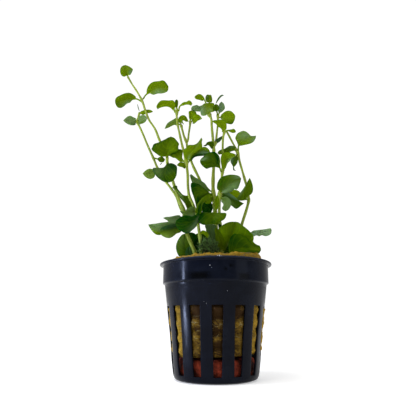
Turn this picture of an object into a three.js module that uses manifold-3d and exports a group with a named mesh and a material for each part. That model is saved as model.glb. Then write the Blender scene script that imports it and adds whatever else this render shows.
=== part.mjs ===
// Creeping jenny in a slotted net pot: nine leafy stems rooted in a rock wool plug on a clay weight.
// Millimetres, +Z up, origin at the centre of the pot's foot.
import * as THREE from 'three';
import { mergeVertices } from 'three/addons/utils/BufferGeometryUtils.js';
import Module from 'manifold-3d';

const wasm = await Module();
wasm.setup();

// Pot
const POT_HEIGHT = 52.1;
const RIM_RADIUS = 27;
const RIM_THICKNESS = 1.1;
const RIM_ROUND = 0.3;
const BAND_RADIUS = 25.3;
const BAND_FOOT = 42.3;
const STEP_HEIGHT = 0.5;
const WALL = 1;
const FLOOR = 1.4;
// Outside of the body from the foot to the step under the band, as radius and height. The first three
// points are the rounded foot.
const BODY_OUTLINE = [
  [17, 0], [18.9, 0.7], [19.6, 2.2], [20.4, 8], [21.3, 18], [22.8, 30], [24.4, BAND_FOOT],
];
const FOOT_POINTS = 3;
const SLOT_COUNT = 14;
const SLOT_FIRST_ANGLE = 1;
const SLOT_FOOT = 3.1;
const SLOT_HEAD = 32.4;
const SLOT_FOOT_WIDTH = 3.4;
const SLOT_HEAD_WIDTH = 5;
// The floor has a narrow slot in line with each slot of the wall.
const FLOOR_SLOT_START = 6;
const FLOOR_SLOT_END = 14;
const POT_SIDES = 42;

// Filling
const GAP = 0.25;
const CLAY_RADIUS = 17.6;
const CLAY_HEAD = 9.8;
const CLAY_ROUND = 1.5;
const CLAY_SIDES = 20;
const WOOL_FOOT = CLAY_HEAD + GAP;
const WOOL_HEAD = 55.3;
const WOOL_CROWN = 0.9;
const WOOL_LEAN = 0.075;
const WOOL_NECK = 47;
const WOOL_TOP_RADIUS = 22.1;
const WOOL_SIDES = 36;
const WOOL_STATIONS = [18, 26, 34, 42];

// Stems and leaves
const STEM_SIDES = 6;
const LEAF_SIDES = 8;
const LEAF_STATIONS = 9;
const STALK_RADIUS = 0.4;
const LEAF_THICKNESS = 0.6;

// Every point of a stem or leaf is given as it shows on the upright plane through the pot's axis to
// someone who looks from here: across, up, and how far behind that plane it really is.
const EYE = new THREE.Vector3(-3.7, -205, 26);

function seen([across, up, depth = 0]) {
  const onPlane = new THREE.Vector3(across, 0, up);
  return onPlane.sub(EYE).multiplyScalar(1 - depth / EYE.y).add(EYE);
}

const curveThrough = (points) => new THREE.CatmullRomCurve3(points, false, 'catmullrom', 0.5);

// Closed skin over rings of equal count, with a point at each end.
function skin(rings, start, end) {
  const sides = rings[0].length;
  const points = [...rings.flat(), start, end];
  const index = [];
  for (let ring = 0; ring < rings.length - 1; ring += 1) {
    for (let side = 0; side < sides; side += 1) {
      const next = (side + 1) % sides;
      const [a, b] = [ring * sides + side, ring * sides + next];
      const [c, d] = [a + sides, b + sides];
      index.push(a, d, b, a, c, d);
    }
  }
  const [startAt, endAt, lastRing] = [points.length - 2, points.length - 1, (rings.length - 1) * sides];
  for (let side = 0; side < sides; side += 1) {
    const next = (side + 1) % sides;
    index.push(startAt, side, next);
    index.push(endAt, lastRing + next, lastRing + side);
  }
  const geometry = new THREE.BufferGeometry().setFromPoints(points);
  geometry.setIndex(index);
  return geometry;
}

// Directions across a stem or leaf at one place: to the right as seen, and towards the viewer.
function acrossFrame(curve, t) {
  const centre = curve.getPoint(t);
  const along = curve.getTangent(t);
  const sight = centre.clone().sub(EYE).normalize();
  const right = sight.cross(along).normalize();
  const front = right.clone().cross(along).normalize();
  return { centre, along, right, front };
}

// Round stem that tapers from its root to its tip. Swell widens it all along, for a clearance hole.
function stemGeometry({ path, root, tip }, swell = 0) {
  const curve = curveThrough(path.map(seen));
  const stations = path.length - 1;
  const rings = [];
  for (let station = 0; station <= stations; station += 1) {
    const t = station / stations;
    const { centre, right, front } = acrossFrame(curve, t);
    const radius = THREE.MathUtils.lerp(root, tip, t) + swell;
    const ring = [];
    for (let side = 0; side < STEM_SIDES; side += 1) {
      const angle = (2 * Math.PI * side) / STEM_SIDES;
      const point = centre.clone().addScaledVector(right, radius * Math.cos(angle));
      ring.push(point.addScaledVector(front, radius * Math.sin(angle)));
    }
    rings.push(ring);
  }
  const first = acrossFrame(curve, 0);
  const last = acrossFrame(curve, 1);
  const start = first.centre.addScaledVector(first.along, -root / 2 - swell);
  return skin(rings, start, last.centre.addScaledVector(last.along, tip / 2));
}

// Leaf on its stalk. The rib runs from the stem to the leaf's tip. The blade's left and right edges run
// from the rib, where the stalk ends, through their own points as seen to the tip, at the rib's depth.
// Fold brings both halves of the blade forward, in degrees.
function leafGeometry({ path, left, right, stalk, fold = 10 }) {
  const rib = curveThrough(path.map(seen));
  const ribSeen = curveThrough(path.map((point) => new THREE.Vector3(...point)));
  const tangent = Math.tan(THREE.MathUtils.degToRad(fold));
  const [leftEdge, rightEdge] = [left, right].map((points) => {
    const between = points.map(([across, up]) => new THREE.Vector3(across, up, 0));
    return curveThrough([ribSeen.getPoint(stalk).setZ(0), ...between, ribSeen.getPoint(1).setZ(0)]);
  });
  const places = [0];
  for (let station = 0; station <= LEAF_STATIONS; station += 1) {
    const share = 0.03 + 0.94 * (1 - Math.cos((Math.PI * station) / LEAF_STATIONS)) / 2;
    places.push(stalk + (1 - stalk) * share);
  }
  const rings = places.map((t) => {
    const frame = acrossFrame(rib, t);
    const share = Math.max(0, (t - stalk) / (1 - stalk));
    const depth = ribSeen.getPoint(t).z;
    const toEye = EYE.clone().sub(frame.centre).normalize();
    const [toLeft, toRight] = [[leftEdge, -1], [rightEdge, 1]].map(([edge, hand]) => {
      const { x, y } = edge.getPointAt(share);
      const way = share > 0 ? seen([x, y, depth]).sub(frame.centre) : new THREE.Vector3();
      way.addScaledVector(frame.right, hand * STALK_RADIUS * (1 - share));
      return way.addScaledVector(toEye, way.length() * tangent);
    });
    const thick = share > 0 ? LEAF_THICKNESS / 2 : STALK_RADIUS;
    const ring = [];
    for (let side = 0; side < LEAF_SIDES; side += 1) {
      const round = (2 * Math.PI * side) / LEAF_SIDES;
      const reach = Math.cos(round);
      const place = frame.centre.clone().addScaledVector(reach > 0 ? toRight : toLeft, Math.abs(reach));
      ring.push(place.addScaledVector(frame.front, thick * Math.sin(round)));
    }
    return ring;
  });
  return skin(rings, rib.getPoint(0), rib.getPoint(1));
}

function toSolid(geometry) {
  const bare = geometry.clone();
  bare.deleteAttribute('normal');
  bare.deleteAttribute('uv');
  const merged = mergeVertices(bare, 1e-4);
  const vertProperties = new Float32Array(merged.attributes.position.array);
  const triVerts = new Uint32Array(merged.index.array);
  return new wasm.Manifold(new wasm.Mesh({ numProp: 3, vertProperties, triVerts }));
}

function toGeometry(solid) {
  const { vertProperties, triVerts } = solid.getMesh();
  const geometry = new THREE.BufferGeometry();
  geometry.setAttribute('position', new THREE.BufferAttribute(new Float32Array(vertProperties), 3));
  geometry.setIndex(new THREE.BufferAttribute(new Uint32Array(triVerts), 1));
  return geometry;
}

// A profile of radius and height turned about the Z axis. It starts and ends on the axis or closes.
function turned(profile, sides) {
  const points = profile.map(([radius, height]) => new THREE.Vector2(radius, height));
  return new THREE.LatheGeometry(points, sides).rotateX(Math.PI / 2);
}

// Radius of the pot's outside at a height below the band.
function bodyRadius(height) {
  const above = BODY_OUTLINE.findIndex(([, z]) => z >= height);
  const [[r0, z0], [r1, z1]] = [BODY_OUTLINE[Math.max(above, 1) - 1], BODY_OUTLINE[Math.max(above, 1)]];
  return THREE.MathUtils.lerp(r0, r1, (height - z0) / (z1 - z0));
}

function outline(corners) {
  return new THREE.Shape(corners.map(([x, y]) => new THREE.Vector2(x, y)));
}

function potGeometry() {
  const seat = POT_HEIGHT - RIM_THICKNESS;
  const inside = BODY_OUTLINE.slice(FOOT_POINTS).reverse().map(([radius, height]) => [radius - WALL, height]);
  const profile = [
    [0, 0], ...BODY_OUTLINE, [BAND_RADIUS, BAND_FOOT + STEP_HEIGHT], [BAND_RADIUS, seat],
    [RIM_RADIUS - RIM_ROUND, seat], [RIM_RADIUS, seat + RIM_ROUND], [RIM_RADIUS, POT_HEIGHT - RIM_ROUND],
    [RIM_RADIUS - RIM_ROUND, POT_HEIGHT], [BAND_RADIUS - WALL, POT_HEIGHT], ...inside,
    [bodyRadius(FLOOR) - WALL, FLOOR], [0, FLOOR],
  ];
  let pot = toSolid(turned(profile, POT_SIDES));
  const [foot, head] = [SLOT_FOOT_WIDTH / 2, SLOT_HEAD_WIDTH / 2];
  const wallSlot = outline([[-foot, SLOT_FOOT], [foot, SLOT_FOOT], [head, SLOT_HEAD], [-head, SLOT_HEAD]]);
  const wallCutter = new THREE.ExtrudeGeometry(wallSlot, { depth: BAND_RADIUS, bevelEnabled: false });
  wallCutter.rotateX(Math.PI / 2).translate(0, -FLOOR_SLOT_END, 0);
  const [near, far] = [FLOOR_SLOT_START, FLOOR_SLOT_END].map((radius) => radius * foot / bodyRadius(SLOT_FOOT));
  const floorSlot = outline([
    [near, -FLOOR_SLOT_START], [-near, -FLOOR_SLOT_START], [-far, -FLOOR_SLOT_END], [far, -FLOOR_SLOT_END],
  ]);
  const floorCutter = new THREE.ExtrudeGeometry(floorSlot, { depth: 3 * FLOOR, bevelEnabled: false });
  floorCutter.translate(0, 0, -FLOOR);
  for (let slot = 0; slot < SLOT_COUNT; slot += 1) {
    const turn = THREE.MathUtils.degToRad(SLOT_FIRST_ANGLE + (360 * slot) / SLOT_COUNT);
    pot = pot.subtract(toSolid(wallCutter.clone().rotateZ(turn)));
    pot = pot.subtract(toSolid(floorCutter.clone().rotateZ(turn)));
  }
  return toGeometry(pot);
}

// The weight is a disc of fired clay with chamfered edges.
function clayGeometry() {
  const foot = FLOOR + GAP;
  const profile = [
    [0, foot], [CLAY_RADIUS - CLAY_ROUND, foot], [CLAY_RADIUS, foot + CLAY_ROUND],
    [CLAY_RADIUS, CLAY_HEAD - CLAY_ROUND], [CLAY_RADIUS - CLAY_ROUND, CLAY_HEAD], [0, CLAY_HEAD],
  ];
  return turned(profile, CLAY_SIDES);
}

// The plug fills the pot and stands above its rim, higher to the right, with a hole for each root.
function woolGeometry(stems) {
  const heights = [WOOL_FOOT, ...WOOL_STATIONS];
  const side = heights.map((height) => [bodyRadius(height) - WALL - GAP, height]);
  const top = WOOL_TOP_RADIUS;
  const profile = [
    [0, WOOL_FOOT], ...side, [top, WOOL_NECK], [top, WOOL_HEAD - 2 * WOOL_CROWN], [top - WOOL_CROWN, WOOL_HEAD],
    [2 * top / 3, WOOL_HEAD + WOOL_CROWN / 2], [0, WOOL_HEAD + WOOL_CROWN],
  ];
  const plug = turned(profile, WOOL_SIDES);
  const place = plug.attributes.position;
  for (let corner = 0; corner < place.count; corner += 1) {
    const lift = Math.max(0, place.getZ(corner) - WOOL_NECK) / (WOOL_HEAD - WOOL_NECK);
    place.setZ(corner, place.getZ(corner) + lift * WOOL_LEAN * place.getX(corner));
  }
  let wool = toSolid(plug);
  for (const stem of stems) wool = wool.subtract(toSolid(stemGeometry(stem, GAP)));
  return toGeometry(wool);
}

// Stems, from the root up: points across, up and behind, with the radius at root and tip.
// A stem that forks off another starts beside it.
const STEMS = {
  a: {
    root: 0.85, tip: 0.45,
    path: [[-8.6, 51, -6], [-10, 57.7, -6], [-12, 62.5, -6], [-14.3, 68, -6], [-15.6, 74, -6],
      [-15.8, 79, -6], [-17.4, 83, -6], [-18.7, 86, -6], [-20.6, 91.5, -6], [-21.7, 95, -6], [-23.4, 100, -5],
      [-24.9, 105.5, -5], [-25.2, 109, -5], [-27.2, 114, -4], [-29.3, 118, -4.6], [-31.9, 124.5, -5],
      [-35.4, 130, -5.4], [-37.7, 136, -5.2], [-39.6, 141.4, -5], [-42.3, 146, -4], [-45.3, 151.2, -4],
      [-47.9, 155.8, -4]],
  },
  b: {
    root: 0.6, tip: 0.45,
    path: [[-17.2, 80, -3.6], [-18.4, 83, -3.4], [-19.9, 87, -3.4], [-22.8, 91.5, -3], [-26.6, 96.5, -3],
      [-30, 102.6, -3], [-32.3, 108, -3], [-35.4, 114.8, -3], [-38, 121, -3], [-40.2, 125.8, -3],
      [-41.6, 128.6, -3], [-41.1, 131.6, -3], [-40.6, 134, -3]],
  },
  c: {
    root: 0.75, tip: 0.5,
    path: [[-6.7, 51, -9], [-7, 57.5, -9], [-7.6, 65, -9], [-8.6, 72, -8], [-10, 79, -7], [-11.4, 83, -7],
      [-13.3, 87.3, -7], [-14, 93, -7], [-14.2, 99, -7], [-15, 104.8, -7], [-15.9, 109.5, -7],
      [-17.4, 115.5, -6], [-18.8, 121.8, -6], [-20, 127.5, -6], [-20.5, 132, -6], [-20.6, 136.6, -6]],
  },
  d: {
    root: 0.8, tip: 0.5,
    path: [[-4.5, 51, 3], [-4.3, 58, 3], [-4, 68, 3], [-4, 79, 2], [-5, 88, 2], [-8.2, 96.5, 1], [-11, 102.5, 1],
      [-12.9, 107.4, 0], [-14.4, 112, 0], [-14.9, 116, 0], [-15.5, 118, 0], [-16.6, 121, 0], [-18, 126.5, 0]],
  },
  d_fork: {
    root: 0.5, tip: 0.45,
    path: [[-14.2, 118.4, 0.6], [-13.9, 122, 0.6], [-13.4, 126, 0.6], [-13.1, 129, 0.6]],
  },
  e: {
    root: 1, tip: 0.55,
    path: [[0.9, 51, -2], [0.8, 58, -2], [0.3, 70, -2], [-0.1, 79, -2], [-0.7, 86, -2], [-1.1, 92, -2],
      [-1, 98, -2], [-0.7, 104, -2], [-0.6, 110, -2], [-0.8, 115, -2], [-1.2, 120, -2], [-1.7, 126, -2],
      [-1.9, 130, -2], [-3, 133, -2]],
  },
  e_fork: {
    root: 0.55, tip: 0.45,
    path: [[0.4, 116.2, -1], [0.7, 119, -1], [1.2, 124, -1], [1.6, 128, -1], [1.6, 133, -1]],
  },
  g: {
    root: 0.75, tip: 0.5,
    path: [[3.5, 51, -5], [3.3, 58, -5], [2.6, 68, -5], [2, 79, -5], [2.3, 88, -5], [3, 94, -5], [3.7, 99.6, -4],
      [4, 105, -3], [4, 111, -3], [4.1, 116, -3], [4.4, 120, -3], [5.2, 123.4, -3]],
  },
  h: {
    root: 0.8, tip: 0.45,
    path: [[8, 51, 7], [9.5, 58, 7], [11.5, 66, 6], [13.5, 73.3, 4], [15.4, 79, 3], [16.8, 84, 2],
      [16.9, 87, 2], [16.2, 92, 1], [14.8, 98, 1], [12.8, 106, 1], [11.7, 111.5, 1], [9.6, 116, 1],
      [7.6, 120.2, 0], [6.3, 122.9, -1]],
  },
};

// Young leaves that are still one with the stem's tip or joint.
const BUDS = [
  {
    stem: 'b',
    path: [[-32.2, 108, -3], [-29.8, 107.4, -3.4], [-28, 106.9, -3.4], [-26, 107.1, -3]],
    left: [[-29.3, 108.2], [-27.8, 108.5], [-26.8, 108]],
    right: [[-29.6, 106.9], [-28.6, 105.9], [-27, 105.8]],
    stalk: 0.3,
  },
  {
    stem: 'b',
    path: [[-40.6, 133.6, -3], [-38.5, 134.6, -4], [-33.3, 134.7, -5]],
    left: [[-39.4, 134.8], [-37.4, 135.6], [-35.4, 135.8], [-34.1, 135.4]],
    right: [[-38.8, 133.1], [-36.6, 133.8], [-35, 134], [-34, 134.3]],
    stalk: 0.08,
  },
  {
    stem: 'c',
    path: [[-20.6, 134, -6], [-20.8, 138, -6], [-20.8, 142.1, -6]],
    left: [[-21.3, 138.6], [-21.6, 140.2], [-21.4, 141.5]],
    right: [[-20.2, 138.6], [-20, 140.2], [-20.1, 141.5]],
    stalk: 0.35, fold: 30,
  },
  {
    stem: 'c',
    path: [[-7.6, 66, -9], [-7, 68.3, -9], [-5, 67.8, -9.6], [-3.2, 64.8, -10]],
    left: [[-6.6, 69], [-5, 68.8], [-3.6, 67.6], [-3, 66]],
    right: [[-6, 67.6], [-5, 66.9], [-4.2, 65.8]],
    stalk: 0.2,
  },
  {
    stem: 'c',
    path: [[-15, 104.2, -7], [-17.3, 104.1, -8], [-20, 104, -9]],
    left: [[-15.7, 102.4], [-17.1, 103], [-18.6, 103.3]],
    right: [[-16.4, 105.1], [-17.9, 105.6], [-19.2, 104.9]],
    stalk: 0.05,
  },
  {
    stem: 'c',
    path: [[-7.1, 58.4, -9], [-7.8, 58, -5], [-9.2, 60, -1.6], [-9.4, 65, -1.4]],
    left: [[-9.8, 57.4], [-11.6, 59], [-11.8, 62], [-11, 64.6]],
    right: [[-7.6, 57.8], [-7, 60.6], [-7.8, 64]],
    stalk: 0.3,
  },
  {
    stem: 'a',
    path: [[-10, 57.6, -6], [-11.9, 57.6, -5.4], [-13, 59, -5], [-13.1, 61.3, -5]],
    left: [[-12.4, 56.3], [-14, 56.5], [-14.7, 58], [-14.3, 60]],
    right: [[-11.6, 58.6], [-11.5, 60], [-12.2, 61.2]],
    stalk: 0.2,
  },
  {
    stem: 'd',
    path: [[-18, 126.5, 0], [-18.6, 129.8, -1], [-17, 131.2, -1.5], [-14, 128.8, -1]],
    left: [[-18.9, 128.3], [-19.4, 130.6], [-18.2, 132.1], [-16.8, 132.5], [-15.6, 131.8], [-14.7, 130.3]],
    right: [[-16.8, 127.2], [-17.4, 129.3], [-16.6, 129.6], [-15.4, 128.8]],
    stalk: 0.15,
  },
  {
    stem: 'e',
    path: [[-2.8, 132.8, -2], [-3, 139.6, -2], [-3.1, 144.9, -2.5]],
    left: [[-4.2, 140.6], [-4.9, 142.2], [-4.8, 144], [-4.1, 145]],
    right: [[-2.1, 140.2], [-1.6, 141.8], [-1.7, 143.4], [-2.1, 144.8]],
    stalk: 0.55,
  },
  {
    stem: 'e',
    path: [[-0.7, 112.5, -2], [-1.4, 115.6, -3], [-3.4, 116.2, -3.5], [-6.4, 114.8, -3.5]],
    left: [[-1.7, 113.3], [-2.5, 114.5], [-3.7, 115.4], [-4.9, 114.7]],
    right: [[-0.8, 115.8], [-1.4, 117.2], [-2.6, 117.2], [-4.1, 116.8], [-5, 115.6]],
    stalk: 0.1,
  },
  {
    stem: 'e',
    path: [[-0.4, 82.4, -2], [-2.4, 81.6, -1], [-4.6, 81, 0], [-6.9, 80.6, 0.6]],
    left: [[-2.2, 78.8], [-4.4, 78.4], [-6.4, 78.6]],
    right: [[-2.4, 83.8], [-4.4, 84.2], [-6.4, 84]],
    stalk: 0.1,
  },
  {
    stem: 'e',
    path: [[-0.6, 86.4, -2], [-1.8, 86.6, -3], [-3.4, 85.6, -3.4], [-5.4, 83.8, -3.4]],
    left: [[-1.6, 84.6], [-2.8, 83.5], [-4.6, 83.2]],
    right: [[-2.6, 88], [-4.4, 86.6], [-6, 84.8]],
    stalk: 0.1,
  },
  {
    stem: 'e_fork',
    path: [[0.4, 116.2, -1], [1.8, 118, -1.6], [4.5, 120.8, -1.2]],
    left: [[0.2, 117.8], [1.4, 118.8], [3, 120]],
    right: [[1.4, 116.8], [2.5, 117.5], [3.9, 119.3]],
    stalk: 0.05,
  },
  {
    stem: 'e_fork',
    path: [[1.6, 132.4, -1], [0.7, 136.6, -6], [0.6, 139.4, -6.4]],
    left: [[-0.4, 135.2], [-0.8, 136.8], [-0.5, 138.4]],
    right: [[1.7, 135.4], [2.1, 137], [1.7, 138.6]],
    stalk: 0.3,
  },
  {
    stem: 'g',
    path: [[5.1, 123.2, -3], [7.6, 123.7, -3.5], [11.2, 122.7, -4]],
    left: [[8.6, 124], [9.9, 124.5], [10.8, 123.8]],
    right: [[8.7, 122.7], [9.9, 122.3]],
    stalk: 0.38,
  },
  {
    stem: 'g',
    path: [[2.2, 88, -5], [1.2, 87.6, -5.4], [0.7, 84.6, -5.6], [0.6, 79.6, -6]],
    left: [[1.8, 86], [1.5, 82.6], [1.1, 80.4]],
    right: [[0.2, 86], [-0.1, 82.6], [0.1, 80.4]],
    stalk: 0.15,
  },
  {
    stem: 'g',
    path: [[2.3, 73, -5], [2, 72.4, -6.4], [2.9, 71.2, -7], [4, 70.2, -7]],
    left: [[2.5, 72.3], [3.5, 71.2]],
    right: [[1.7, 71.8], [3, 70.3]],
    stalk: 0.1,
  },
];

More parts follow.
